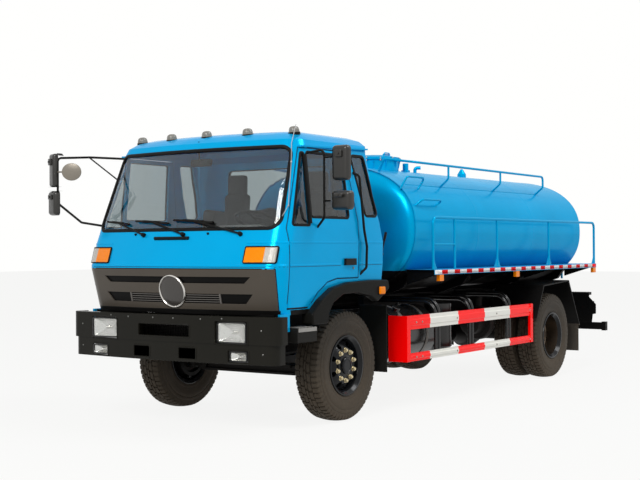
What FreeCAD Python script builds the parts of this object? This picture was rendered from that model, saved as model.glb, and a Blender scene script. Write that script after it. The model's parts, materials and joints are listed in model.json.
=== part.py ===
import FreeCAD, Part
import math
import os

# Tanker truck: two axles, forward-control cab and an oval water tank.
# Units are millimetres. The front faces -Y, the driver's side is +X and the ground is Z = 0.
# Lengths measured from the front axle, positive to the rear, go through the function at().

# Overall layout
FRONT_AXLE_Y = -2650.0
WHEELBASE = 4500.0
REAR_Y = FRONT_AXLE_Y + WHEELBASE
TYRE_RADIUS = 523.0
TYRE_WIDTH = 270.0
AXLE_Z = TYRE_RADIUS
FRONT_WHEEL_X = 962.0
REAR_OUTER_X = 1090.0
DUAL_SPACING = 310.0
REAR_INNER_X = REAR_OUTER_X - DUAL_SPACING

# Wheels
BEAD_RADIUS = 254.0
BEAD_GAP = 0.3
BEAD_SHARE = 0.69
FLANGE_RADIUS = 285.0
RIM_HALF = 112.0
RIM_WALL = 10.0
DISC_THICK = 12.0
HAND_HOLE_RADIUS = 26.0
HAND_HOLE_CIRCLE = 188.0
HAND_HOLES = 8
DRUM_RADIUS = 200.0
DRUM_WALL = 40.0
SPINDLE_RADIUS = 40.0
REAR_SPINDLE_RADIUS = 50.0
RUN_FIT = 0.1
SHAFT_GAP = 0.4

# Front axle and steering
KINGPIN_X = 800.0
KINGPIN_RADIUS = 18.0
BOSS_RADIUS = 42.0
BOSS_HALF = 80.0
BEAM_HALF_DEPTH = 50.0
BEAM_Z0 = 400.0
BEAM_Z1 = 492.0
ARM_REACH = 200.0
ARM_THICK = 22.0
ARM_EYE = 20.0
STUD_RADIUS = 11.0
STUD_LENGTH = 40.0
TIE_ROD_RADIUS = 15.0
KNUCKLE_GAP = 3.0
KNUCKLE_ARM = 30.0

# Chassis ladder
RAIL_OUT_X = 430.0
RAIL_WEB = 8.0
RAIL_FLANGE = 75.0
RAIL_BOTTOM = 745.0
RAIL_TOP = 985.0
RAIL_FRONT = -1200.0
RAIL_REAR = 6500.0
CROSS_AT = (-1080.0, 1760.0, 2700.0, 3560.0, 4980.0, 5720.0, 6420.0)
CROSS_WIDTH = 70.0
CROSS_BOTTOM = 800.0

# Springs
SPRING_WIDTH = 70.0
FRONT_SPRING_X = 420.0
REAR_SPRING_X = 482.0
FRONT_SPRING_HALF = 690.0
REAR_SPRING_HALF = 720.0

# Engine, driveline
ENGINE_HALF_X = 330.0
ENGINE_FRONT = -420.0
ENGINE_REAR = 720.0
ENGINE_BOTTOM = 600.0
ENGINE_TOP = 1160.0
GEARBOX_REAR = 1430.0
GEARBOX_HALF_X = 210.0
SHAFT_RADIUS = 45.0
SHAFT_FRONT_Z = 690.0
PINION_FRONT = 4080.0
BANJO_RADIUS = 190.0
AXLE_TUBE_RADIUS = 72.0

# Tank
TANK_FRONT = 1287.0
TANK_REAR = 5860.0
TANK_HALF_X = 1061.0
TANK_HALF_Z = 689.0
TANK_Z = 1824.0
TANK_POWER = 2.3
HEAD_DEPTH = 100.0
SILL_WIDTH = 80.0
SILL_TOP = 1110.0
SADDLE_THICK = 70.0
SADDLE_AT = (1600.0, 2960.0, 4410.0, 5700.0)
SADDLE_OUT_X = 880.0
SADDLE_TOP = 1330.0
SADDLE_CLEAR = 8.0

# Drain pipe
OUTLET_RADIUS = 45.0
OUTLET_Z = 1027.0
OUTLET_AT = 6300.0
OUTLET_END_Z = 900.0

# Walkways and railings
WALK_OUT_X = 1235.0
WALK_TOP = 1396.0
WALK_LIP = 52.0
WALK_PLATE = 6.0
WALK_FRONT = 1440.0
WALK_REAR = 5925.0
RAILING_TOP = 1940.0
RAILING_RADIUS = 15.0
RAILING_X = 1212.0
POSTS_AT = (1455.0, 1930.0, 2960.0, 4410.0, 5905.0)
RUNG_Z = 1660.0

# Tank top
HATCH_AT = 2270.0
HATCH_RADIUS = 280.0
HATCH_WALL = 10.0
HATCH_RISE = 127.0
HATCH_TOP = TANK_Z + TANK_HALF_Z + HATCH_RISE
HATCH_FLANGE_RADIUS = 312.0
HATCH_FLANGE = 14.0
LID_GAP = 0.3
LID_THICK = 14.0
TOP_RAIL_X = 940.0
TOP_RAIL_RISE = 7.0
TOP_RAIL_Z = TANK_Z + TANK_HALF_Z + TOP_RAIL_RISE
TOP_RAIL_RADIUS = 13.0
TOP_POSTS_AT = (2310.0, 3620.0, 4860.0)
TOP_FOOT_X = 830.0
GRIPS = ((890.0, 950.0, 2370.0, 1340.0, 1760.0), (1012.0, 1080.0, 2130.0, 1440.0, 1920.0))

# Bumper
BUMPER_FRONT = -1360.0
BUMPER_BOW = 66.0
BUMPER_HALF_X = 1220.0
BUMPER_CORNER = 90.0
BUMPER_BACK = -1135.0
BUMPER_TOP = 1040.0
BUMPER_SEAM = 800.0
BUMPER_BOTTOM = 628.0
BUMPER_WALL = 14.0
BUMPER_STEP = 18.0
HEADLAMP_X = 752.0
HEADLAMP_Z = 900.0
FOG_X = 819.0
FOG_Z = 694.0

# Cab: height, half width, front and rear of each level of the outer skin
CAB_LEVELS = (
    (1045.0, 1122.0, -1195.0, 560.0),
    (1460.0, 1150.0, -1290.0, 590.0),
    (1680.0, 1155.0, -1216.0, 590.0),
    (1880.0, 1144.0, -1140.0, 540.0),
    (2125.0, 1120.0, -1049.0, 450.0),
    (2540.0, 1076.0, -895.0, 400.0),
    (2610.0, 1050.0, -868.0, 440.0),
    (2660.0, 990.0, -800.0, 425.0),
    (2694.0, 885.0, -690.0, 370.0),
    (2706.0, 740.0, -540.0, 280.0),
)
CAB_WALL = 34.0
CAB_BOW = 90.0
CORNER_IN = 150.0
CORNER_BACK = 190.0
REAR_CORNER = 55.0
WELL_FRONT = -610.0
WELL_TOP = 1235.0
FLOOR_THICK = 34.0
SKIN_SET = 12.0
PANEL_GAP = 0.5
GLASS_SET = 9.0
GLASS_THICK = 6.0
CAB_PIVOT_Y = -1150.0
CAB_PIVOT_Z = 1010.0
CAB_PIN_RADIUS = 12.0
CAB_EAR = 19.0
DOOR_GAP = 5.0
SEAT_GAP = 0.3
BAR_HALF_X = 540.0

# Cab openings: outlines of (across, up) for the front and rear, (behind the axle, up) for the sides
SCREEN = ((-1078.0, 1808.0), (1078.0, 1808.0), (1010.0, 2536.0), (-1010.0, 2536.0))
GRILLE = ((-1072.0, 1086.0), (1072.0, 1086.0), (1096.0, 1448.0), (-1096.0, 1448.0))
REAR_SCREEN = ((-640.0, 1960.0), (640.0, 1960.0), (640.0, 2440.0), (-640.0, 2440.0))
QUARTER = ((262.0, 1936.0), (468.0, 1936.0), (306.0, 2500.0), (82.0, 2500.0))
DOOR_FRONT = -1003.0
DOOR_REAR = 112.0
DOOR_BOTTOM = 1092.0
DOOR_TOP = 2530.0
DOOR = (
    (DOOR_FRONT, DOOR_BOTTOM), (-700.0, DOOR_BOTTOM), (-555.0, 1230.0), (-400.0, 1320.0), (-250.0, 1348.0),
    (DOOR_REAR, 1348.0), (DOOR_REAR, 1880.0), (-20.0, DOOR_TOP), (-728.0, DOOR_TOP), (DOOR_FRONT, 1800.0),
)
DOOR_GLASS = (
    ((-936.0, 1838.0), (-690.0, 1838.0), (-690.0, 2480.0), (-716.0, 2480.0)),
    ((-650.0, 1912.0), (-40.0, 1912.0), (-70.0, 2490.0), (-650.0, 2490.0)),
)
DOOR_GLASS_RADII = (12.0, 30.0)
FENDER = (
    (-725.0, 945.0), (-725.0, 1060.0), (-640.0, 1140.0), (-517.0, 1235.0), (-317.0, 1305.0), (36.0, 1324.0),
    (578.0, 1316.0), (607.0, 1204.0), (376.0, 1108.0), (270.0, 1190.0), (130.0, 1213.0), (-203.0, 1213.0),
    (-393.0, 1140.0), (-556.0, 1051.0), (-670.0, 945.0),
)
FENDER_OUT_X = 1202.0
MARKER_LAMPS_X = (-924.0, -462.0, 0.0, 462.0, 924.0)
TURN_LAMP = (952.0, 1572.0, 290.0, 134.0)
WIPERS = ((-390.0, -965.0, -630.0), (100.0, -540.0, -110.0), (720.0, -50.0, 410.0))
WIPER_PIVOT_Z = 1755.0
WIPER_OFF = 16.0
WIPER_RADIUS = 6.0

# Cab inside
FLOOR_TOP = WELL_TOP + FLOOR_THICK
SEATS_X = ((300.0, 860.0), (-900.0, 120.0))
CUSHION_Z = 1440.0
CUSHION_THICK = 150.0
STEER_X = 560.0
STEER_FOOT = (-980.0, 1045.0)
STEER_HUB = (-650.0, 1830.0)
STEER_RADIUS = 235.0
DASH_DOOR_X = 1086.0

# Mirrors
MIRROR_LEFT_X = 1245.0
MIRROR_LEFT_AT = -600.0
MIRROR_RIGHT_X = 1450.0
MIRROR_RIGHT_AT = -1250.0
MIRROR_BAR = 11.0
PILLAR_FEET = ((-1061.0, -978.0, 1850.0), (-990.0, -734.0, 2518.0), (-1020.0, -827.0, 2287.0))

# Side guards and the pipes behind them
GUARD_OUT_X = 1200.0
GUARD_THICK = 34.0
GUARD_FRONT = 930.0
GUARD_REAR = 3955.0
GUARD_TOP = (800.0, 940.0)
GUARD_LOW = (478.0, 560.0)
GUARD_FRONT_IN = 980.0
GUARD_POST = 70.0
PIPE_RADIUS = 19.0
PIPES_AT = (1680.0, 2450.0, 3400.0)

# Fuel drum
FUEL_X = 760.0
FUEL_Z = 730.0
FUEL_RADIUS = 295.0
FUEL_FRONT = 975.0
FUEL_REAR = 1800.0
FUEL_STRAP = 7.0

# Rear mudguards: corners of the sheet, measured from the rear axle
MUDGUARD = ((-515.0, 760.0), (-300.0, 1155.0), (490.0, 1197.0), (846.0, 600.0))
MUDGUARD_SHEET = 14.0
MUDGUARD_X = (595.0, 1235.0)



def at(distance):
    """Y of a point at a distance behind the front axle."""
    return FRONT_AXLE_Y + distance


def placed(points):
    """Outline with its first coordinate measured from the front axle."""
    return [(at(y), z) for y, z in points]


def vec(x, y, z):
    return FreeCAD.Vector(x, y, z)


def box(x0, x1, y0, y1, z0, z1):
    return Part.makeBox(x1 - x0, y1 - y0, z1 - z0, vec(x0, y0, z0))


def rod(start, end, radius):
    """Solid cylinder between two points."""
    along = end.sub(start)
    return Part.makeCylinder(radius, along.Length, start, along)


def join(shapes):
    """One solid from pieces that meet."""
    first, rest = shapes[0], list(shapes[1:])
    return first.fuse(rest).removeSplitter() if rest else first


def group(shapes):
    """Separate solids in one node."""
    return Part.makeCompound([solid for shape in shapes for solid in shape.Solids])


def mirrored(shape):
    return shape.mirror(vec(0, 0, 0), vec(1, 0, 0))


def pair(shape):
    return group([shape, mirrored(shape)])


def both(shape):
    """A piece and its mirror image, as a list."""
    return [shape, mirrored(shape)]


def plate_x(points, x0, x1):
    """Prism along X on an outline of (y, z) points."""
    wire = Part.makePolygon([vec(x0, y, z) for y, z in points + points[:1]])
    return Part.Face(wire).extrude(vec(x1 - x0, 0, 0))


def plate_y(points, y0, y1):
    """Prism along Y on an outline of (x, z) points."""
    wire = Part.makePolygon([vec(x, y0, z) for x, z in points + points[:1]])
    return Part.Face(wire).extrude(vec(0, y1 - y0, 0))


def plate_z(points, z0, z1):
    """Prism along Z on an outline of (x, y) points."""
    wire = Part.makePolygon([vec(x, y, z0) for x, y in points + points[:1]])
    return Part.Face(wire).extrude(vec(0, 0, z1 - z0))


def bent_rod(points, radius, bend):
    """Round bar along straight runs that are joined by tangent arcs of one radius."""
    edges = []
    last = points[0]
    for before, corner, after in zip(points, points[1:], points[2:]):
        into = corner.sub(before).normalize()
        out = after.sub(corner).normalize()
        half = into.getAngle(out) / 2
        reach = bend * math.tan(half)
        first = corner.sub(vec(*into).multiply(reach))
        second = corner.add(vec(*out).multiply(reach))
        inward = vec(*out).sub(vec(*into)).normalize()
        rise = bend / math.cos(half) - bend
        middle = corner.add(inward.multiply(rise))
        edges.append(Part.LineSegment(last, first).toShape())
        edges.append(Part.Arc(first, middle, second).toShape())
        last = second
    edges.append(Part.LineSegment(last, points[-1]).toShape())
    path = Part.Wire(edges)
    start = points[1].sub(points[0])
    profile = Part.Wire([Part.Circle(points[0], start, radius).toShape()])
    return path.makePipeShell([profile], True, False)


def spun(points, centre_x, y):
    """Ring of revolution about a wheel's axis, on (offset along X, radius) points."""
    ring = [vec(centre_x + x, y, AXLE_Z + r) for x, r in points + points[:1]]
    face = Part.Face(Part.makePolygon(ring))
    return face.revolve(vec(centre_x, y, AXLE_Z), vec(1, 0, 0), 360)


# Wheels

def tyre(centre_x, y):
    """Tyre with bulged side walls and a crowned tread."""
    half = TYRE_WIDTH / 2
    bead = half * BEAD_SHARE
    bulge_r = BEAD_RADIUS + (TYRE_RADIUS - BEAD_RADIUS) * 0.5
    shoulder = half * 0.82
    shoulder_r = TYRE_RADIUS - 13.0

    def point(x, r):
        return vec(centre_x + x, y, AXLE_Z + r)

    inner = BEAD_RADIUS + BEAD_GAP
    left, right = point(-bead, inner), point(bead, inner)
    left_top, right_top = point(-shoulder, shoulder_r), point(shoulder, shoulder_r)
    edges = [
        Part.LineSegment(left, right).toShape(),
        Part.Arc(right, point(half, bulge_r), right_top).toShape(),
        Part.Arc(right_top, point(0, TYRE_RADIUS), left_top).toShape(),
        Part.Arc(left_top, point(-half, bulge_r), left).toShape(),
    ]
    face = Part.Face(Part.Wire(edges))
    return face.revolve(vec(centre_x, y, AXLE_Z), vec(1, 0, 0), 360)


def barrel(centre_x, y):
    """Rim barrel with a flange at each edge, shaped clear of the tyre's beads."""
    lip = RIM_HALF + 8.0
    outer, inner = BEAD_RADIUS, BEAD_RADIUS - RIM_WALL
    ring = [(-lip, inner), (lip, inner), (lip, FLANGE_RADIUS), (RIM_HALF, FLANGE_RADIUS)]
    ring += [(RIM_HALF, outer), (-RIM_HALF, outer), (-RIM_HALF, FLANGE_RADIUS), (-lip, FLANGE_RADIUS)]
    return spun(ring, centre_x, y)


def hand_holes(x0, x1, y, count):
    holes = []
    for step in range(count):
        angle = 2 * math.pi * (step + 0.5) / count
        up = AXLE_Z + HAND_HOLE_CIRCLE * math.sin(angle)
        over = y + HAND_HOLE_CIRCLE * math.cos(angle)
        holes.append(rod(vec(x0, over, up), vec(x1, over, up), HAND_HOLE_RADIUS))
    return holes


def front_rim():
    """Steer wheel's rim, bulged disc, hub and brake drum, for the +X side."""
    x, y = FRONT_WHEEL_X, FRONT_AXLE_Y
    barrel_in = BEAD_RADIUS - RIM_WALL
    disc = [(12.0, barrel_in), (12.0 + DISC_THICK, barrel_in), (70.0, 168.0), (76.0, 105.0)]
    disc += [(62.0, 105.0), (56.0, 160.0)]
    hub = [(-62.0, 0.0), (-62.0, 112.0), (64.0, 112.0), (70.0, 78.0), (112.0, 72.0), (120.0, 56.0),
        (120.0, 0.0)]
    drum_in = DRUM_RADIUS - DRUM_WALL
    drum = [(-148.0, drum_in), (-148.0, DRUM_RADIUS), (-20.0, DRUM_RADIUS), (-20.0, 100.0)]
    drum += [(-34.0, 100.0), (-34.0, drum_in)]
    dish = spun(disc, x, y).cut(hand_holes(x, x + RIM_HALF, y, HAND_HOLES))
    solid = join([barrel(x, y), dish, spun(hub, x, y), spun(drum, x, y)])
    bore_end = x + 40.0
    return solid.cut(rod(vec(x - 70.0, y, AXLE_Z), vec(bore_end, y, AXLE_Z), SPINDLE_RADIUS + RUN_FIT))


def rear_rim():
    """Dual rims on one hub, the outer one deeply dished, for the +X side."""
    y = REAR_Y
    mid = (REAR_INNER_X + REAR_OUTER_X) / 2
    barrel_in = BEAD_RADIUS - RIM_WALL
    outer = [(0.0, 105.0), (0.0, 200.0), (48.0, barrel_in), (62.0, barrel_in), (DISC_THICK, 196.0),
        (DISC_THICK, 105.0)]
    inner = [(-px, r) for px, r in outer]
    hub = [(-230.0, 0.0), (-230.0, 98.0), (-76.0, 98.0), (-76.0, 128.0), (-DISC_THICK, 128.0),
        (20.0, 128.0)]
    hub += [(20.0, 105.0), (150.0, 98.0), (158.0, 84.0), (158.0, 0.0)]
    drum_in = DRUM_RADIUS - DRUM_WALL
    drum = [(-280.0, drum_in), (-280.0, DRUM_RADIUS), (-72.0, DRUM_RADIUS), (-72.0, 95.0)]
    drum += [(-90.0, 95.0), (-90.0, drum_in)]
    dish = spun(outer, mid, y).cut(hand_holes(mid - 80.0, mid + 80.0, y, HAND_HOLES))
    back = spun(inner, mid, y)
    solid = join([barrel(REAR_OUTER_X, y), barrel(REAR_INNER_X, y), dish, back, spun(hub, mid, y),
        spun(drum, mid, y)])
    bore = rod(vec(mid - 240.0, y, AXLE_Z), vec(mid + 100.0, y, AXLE_Z), REAR_SPINDLE_RADIUS + RUN_FIT)
    return solid.cut(bore)


def wheels():
    front_tyre = tyre(FRONT_WHEEL_X, FRONT_AXLE_Y)
    rear_tyres = group([tyre(REAR_OUTER_X, REAR_Y), tyre(REAR_INNER_X, REAR_Y)])
    front, rear = front_rim(), rear_rim()
    return {
        "front_left_tyre": front_tyre,
        "front_right_tyre": mirrored(front_tyre),
        "front_left_rim": front,
        "front_right_rim": mirrored(front),
        "rear_left_tyres": rear_tyres,
        "rear_right_tyres": group([mirrored(rear_tyres)]),
        "rear_left_rims": rear,
        "rear_right_rims": mirrored(rear),
    }


# Axles, steering and driveline

def front_axle():
    """Dropped beam with an upright boss for each kingpin."""
    y = FRONT_AXLE_Y
    half = BEAM_HALF_DEPTH
    outline = [(-KINGPIN_X, 560.0), (-KINGPIN_X, 480.0), (-640.0, BEAM_Z0), (640.0, BEAM_Z0)]
    outline += [(KINGPIN_X, 480.0), (KINGPIN_X, 560.0), (600.0, BEAM_Z1), (-600.0, BEAM_Z1)]
    beam = plate_y(outline, y - half, y + half)
    web = [(-600.0, BEAM_Z0 + 24.0), (600.0, BEAM_Z0 + 24.0), (580.0, BEAM_Z1 - 20.0),
        (-580.0, BEAM_Z1 - 20.0)]
    for side in (-1, 1):
        groove = plate_y(web, y + side * 12.0, y + side * (half + 1.0))
        beam = beam.cut(groove)
    seats = []
    bosses = []
    for side in (-1, 1):
        x = side * FRONT_SPRING_X
        seats.append(box(x - 60.0, x + 60.0, y - 70.0, y + 70.0, BEAM_Z1 - 20.0, BEAM_Z1 + 14.0))
        foot = vec(side * KINGPIN_X, y, AXLE_Z - BOSS_HALF)
        bosses.append(rod(foot, foot.add(vec(0, 0, 2 * BOSS_HALF)), BOSS_RADIUS))
    solid = join([beam] + seats + bosses)
    for side in (-1, 1):
        foot = vec(side * KINGPIN_X, y, AXLE_Z - BOSS_HALF - 1.0)
        hole = rod(foot, foot.add(vec(0, 0, 2 * BOSS_HALF + 2.0)), KINGPIN_RADIUS + RUN_FIT)
        solid = solid.cut(hole)
    return solid


def knuckle():
    """Steering knuckle with kingpin, spindle, backing plate and steering arm, for the +X side."""
    y = FRONT_AXLE_Y
    plate_in = KINGPIN_X + BOSS_RADIUS + 8.0
    plate_out = plate_in + 26.0
    arm = KNUCKLE_ARM
    top = AXLE_Z + BOSS_HALF + KNUCKLE_GAP
    low = AXLE_Z - BOSS_HALF - KNUCKLE_GAP
    disc = rod(vec(plate_in, y, AXLE_Z), vec(plate_out, y, AXLE_Z), 122.0)
    shield = rod(vec(plate_in, y, AXLE_Z), vec(plate_in + 6.0, y, AXLE_Z), DRUM_RADIUS - DRUM_WALL - 8.0)
    upper = box(KINGPIN_X, plate_out, y - 38.0, y + 38.0, top, top + arm)
    lower = box(KINGPIN_X, plate_out, y - 38.0, y + 38.0, low - arm, low)
    upper_eye = rod(vec(KINGPIN_X, y, top), vec(KINGPIN_X, y, top + arm), 38.0)
    lower_eye = rod(vec(KINGPIN_X, y, low - arm), vec(KINGPIN_X, y, low), 38.0)
    pin = rod(vec(KINGPIN_X, y, low - arm), vec(KINGPIN_X, y, top + arm), KINGPIN_RADIUS)
    spindle = rod(vec(plate_in, y, AXLE_Z), vec(FRONT_WHEEL_X + 34.0, y, AXLE_Z), SPINDLE_RADIUS)
    end_y = y + ARM_REACH
    outline = [(KINGPIN_X + 6.0, y), (KINGPIN_X + 6.0, end_y), (KINGPIN_X - 18.0, end_y),
        (KINGPIN_X - 34.0, y)]
    steer = plate_z(outline, low - arm, low - arm + ARM_THICK)
    eye = rod(vec(KINGPIN_X, end_y, low - arm), vec(KINGPIN_X, end_y, low - arm + ARM_THICK), ARM_EYE)
    stud = rod(vec(KINGPIN_X, end_y, low - arm - STUD_LENGTH), vec(KINGPIN_X, end_y, low - arm),
        STUD_RADIUS)
    return join([disc, shield, upper, lower, upper_eye, lower_eye, pin, spindle, steer, eye, stud])


def tie_rod():
    """Track rod behind the axle, with an eye on each steering arm's stud."""
    x, y = KINGPIN_X, FRONT_AXLE_Y + ARM_REACH
    top = AXLE_Z - BOSS_HALF - KNUCKLE_GAP - KNUCKLE_ARM - SHAFT_GAP
    low = top - STUD_LENGTH + 4.0
    middle = (top + low) / 2
    bar = rod(vec(-x, y, middle), vec(x, y, middle), TIE_ROD_RADIUS)
    eyes = [rod(vec(side * x, y, low), vec(side * x, y, top), 22.0) for side in (-1, 1)]
    holes = [rod(vec(side * x, y, low - 1), vec(side * x, y, top + 1),
        STUD_RADIUS + RUN_FIT) for side in (-1, 1)]
    return join([bar] + eyes).cut(holes)


def leaf_pack(x, y, seat_z, half, thick, rise):
    """Stacked leaves, longest on top, as one curved and stepped solid."""
    end_thick = 16.0
    outline = [(y - half, seat_z + thick + rise), (y - half, seat_z + thick + rise - end_thick)]
    outline += [(y - half * 0.62, seat_z + thick * 0.62), (y - half * 0.3, seat_z + thick * 0.2),
        (y - 90.0, seat_z)]
    outline += [(y + 90.0, seat_z), (y + half * 0.3, seat_z + thick * 0.2),
        (y + half * 0.62, seat_z + thick * 0.62)]
    outline += [(y + half, seat_z + thick + rise - end_thick), (y + half, seat_z + thick + rise)]
    outline += [(y + half * 0.5, seat_z + thick + rise * 0.3), (y, seat_z + thick)]
    outline += [(y - half * 0.5, seat_z + thick + rise * 0.3)]
    return plate_x(outline, x - SPRING_WIDTH / 2, x + SPRING_WIDTH / 2)


def leaf_springs():
    """Front packs under the rails and rear packs beside them, each with its two hangers."""
    solids = []
    seat = BEAM_Z1 + 14.0
    rise = 74.0
    thick = 84.0
    x, y, half = FRONT_SPRING_X, FRONT_AXLE_Y, FRONT_SPRING_HALF
    pack = leaf_pack(x, y, seat, half, thick, rise)
    hangers = []
    for end in (-1, 1):
        eye = y + end * half
        hangers.append(box(x - 44.0, RAIL_OUT_X, eye - 34.0, eye + 34.0, seat + thick + rise - 40.0,
            RAIL_BOTTOM))
    solids += both(join([pack] + hangers))
    rear_seat = AXLE_Z + AXLE_TUBE_RADIUS + 12.0
    x, y, half = REAR_SPRING_X, REAR_Y, REAR_SPRING_HALF
    pack = leaf_pack(x, y, rear_seat, half, 130.0, 40.0)
    hangers = []
    top = rear_seat + 170.0
    for end in (-1, 1):
        eye = y + end * half
        hangers.append(box(RAIL_OUT_X, x + 46.0, eye - 40.0, eye + 40.0, top - 50.0, top + 90.0))
    bumper_seat = box(x - 42.0, x + 42.0, y - 80.0, y + 80.0, rear_seat - 12.0, rear_seat + 4.0)
    solids += both(join([pack, bumper_seat] + hangers))
    return group(solids)


def rear_axle():
    """Banjo casing with axle tubes, spring seats, backing plates and hub spindles."""
    y = REAR_Y
    shoulder = 640.0
    end = (REAR_INNER_X + REAR_OUTER_X) / 2 + 80.0
    profile = [(0.0, BANJO_RADIUS), (90.0, BANJO_RADIUS - 18.0), (210.0, AXLE_TUBE_RADIUS + 14.0)]
    profile += [(300.0, AXLE_TUBE_RADIUS), (shoulder, AXLE_TUBE_RADIUS), (shoulder, 150.0),
        (shoulder + 12.0, 150.0)]
    profile += [(shoulder + 12.0, REAR_SPINDLE_RADIUS), (end, REAR_SPINDLE_RADIUS), (end, 0.0)]
    left = [(-x, r) for x, r in reversed(profile)]
    casing = spun(profile + left, 0.0, y)
    nose = Part.makeCone(150.0, 80.0, REAR_Y - at(PINION_FRONT) - 60.0, vec(0, y - 60.0, AXLE_Z),
        vec(0, -1, 0))
    flange = rod(vec(0, at(PINION_FRONT), AXLE_Z), vec(0, at(PINION_FRONT) + 40.0, AXLE_Z), 90.0)
    seat_z = AXLE_Z + AXLE_TUBE_RADIUS
    seats = []
    for side in (-1, 1):
        x = side * REAR_SPRING_X
        seats.append(box(x - 50.0, x + 50.0, y - 80.0, y + 80.0, AXLE_Z - 20.0, seat_z))
    return join([casing, nose, flange] + seats)


def driveshaft():
    """Propeller shaft from the gearbox flange to the pinion flange, with a yoke at each end."""
    front = vec(0, at(GEARBOX_REAR) + SHAFT_GAP, SHAFT_FRONT_Z)
    back = vec(0, at(PINION_FRONT) - SHAFT_GAP, AXLE_Z)
    plates = [rod(front, front.add(vec(0, 22.0, 0)), 80.0), rod(back.sub(vec(0, 22.0, 0)), back, 80.0)]
    bar = rod(front.add(vec(0, 10.0, 0)), back.sub(vec(0, 10.0, 0)), SHAFT_RADIUS)
    joints = [Part.makeSphere(62.0, front.add(vec(0, 90.0, -6.0))),
        Part.makeSphere(62.0, back.sub(vec(0, 90.0, -6.0)))]
    return join(plates + joints + [bar])


def engine_block():
    """Engine and gearbox as one plain block on four feet in the rails."""
    block = box(-ENGINE_HALF_X, ENGINE_HALF_X, at(ENGINE_FRONT), at(ENGINE_REAR), ENGINE_BOTTOM, ENGINE_TOP)
    gearbox = box(-GEARBOX_HALF_X, GEARBOX_HALF_X, at(ENGINE_REAR), at(GEARBOX_REAR), 590.0, 930.0)
    feet = []
    for side in (-1, 1):
        for place in (-150.0, 520.0):
            inner = side * (ENGINE_HALF_X - 10.0)
            outer = side * (RAIL_OUT_X - RAIL_WEB)
            feet.append(box(min(inner, outer), max(inner, outer), at(place), at(place) + 80.0, 800.0,
                880.0))
    return join([block, gearbox] + feet)


# Chassis

def rail():
    """Pressed channel rail, open inwards, for the +X side, with the cab's front and rear mounts."""
    web_in = RAIL_OUT_X - RAIL_WEB
    flange_in = RAIL_OUT_X - RAIL_FLANGE
    outline = [(RAIL_OUT_X, RAIL_BOTTOM), (RAIL_OUT_X, RAIL_TOP), (flange_in, RAIL_TOP)]
    outline += [(flange_in, RAIL_TOP - RAIL_WEB), (web_in, RAIL_TOP - RAIL_WEB)]
    outline += [(web_in, RAIL_BOTTOM + RAIL_WEB), (flange_in, RAIL_BOTTOM + RAIL_WEB),
        (flange_in, RAIL_BOTTOM)]
    return plate_y(outline, at(RAIL_FRONT), at(RAIL_REAR))


def cab_mounts():
    """Front lugs that hold the cab's tilt pins, and rear posts that the cab rests on."""
    inner = RAIL_OUT_X - RAIL_FLANGE
    y, z = at(CAB_PIVOT_Y), CAB_PIVOT_Z
    lug = box(inner, inner + 34.0, y - 32.0, y + 32.0, RAIL_TOP - 1.0, z)
    eye = rod(vec(inner, y, z), vec(inner + 34.0, y, z), 32.0)
    hole = rod(vec(inner - 1.0, y, z), vec(inner + 35.0, y, z), CAB_PIN_RADIUS + RUN_FIT)
    front = lug.fuse(eye).cut(hole)
    post = box(inner, RAIL_OUT_X, at(440.0), at(520.0), RAIL_TOP - 1.0, WELL_TOP - SHAFT_GAP)
    return [front, post]


def chassis_rails():
    solid = join([rail()] + cab_mounts())
    return pair(solid)


def crossmembers():
    """Channel crossmembers that fill the ladder between the rails' webs."""
    web_in = RAIL_OUT_X - RAIL_WEB
    top = RAIL_TOP - RAIL_WEB - 2.0
    solids = []
    for place in CROSS_AT:
        y0, y1 = at(place) - CROSS_WIDTH / 2, at(place) + CROSS_WIDTH / 2
        outline = [(y0, CROSS_BOTTOM), (y1, CROSS_BOTTOM), (y1, CROSS_BOTTOM + 10.0),
            (y0 + 10.0, CROSS_BOTTOM + 10.0)]
        outline += [(y0 + 10.0, top - 10.0), (y1, top - 10.0), (y1, top), (y0, top)]
        solids.append(plate_x(outline, -web_in, web_in))
    return group(solids)


# Bumper and lamps

def bumper_plan(half, z0, z1, inset):
    """Bowed plan of the bumper between two heights, drawn in from the outside by an inset."""
    front = at(BUMPER_FRONT) + inset
    side = half - inset
    corner = BUMPER_CORNER - inset / 2
    shoulder = front + BUMPER_BOW
    back = at(BUMPER_BACK)
    knee = corner * (1 - math.sqrt(0.5))

    def point(x, y):
        return vec(x, y, z0)

    edges = [
        Part.Arc(point(-side + corner, shoulder), point(0, front),
            point(side - corner, shoulder)).toShape(),
        Part.Arc(point(side - corner, shoulder), point(side - knee, shoulder + knee),
            point(side, shoulder + corner)).toShape(),
        Part.LineSegment(point(side, shoulder + corner), point(side, back)).toShape(),
        Part.LineSegment(point(side, back), point(-side, back)).toShape(),
        Part.LineSegment(point(-side, back), point(-side, shoulder + corner)).toShape(),
        Part.Arc(point(-side, shoulder + corner), point(-side + knee, shoulder + knee),
            point(-side + corner, shoulder)).toShape(),
    ]
    return Part.Face(Part.Wire(edges)).extrude(vec(0, 0, z1 - z0))


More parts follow.
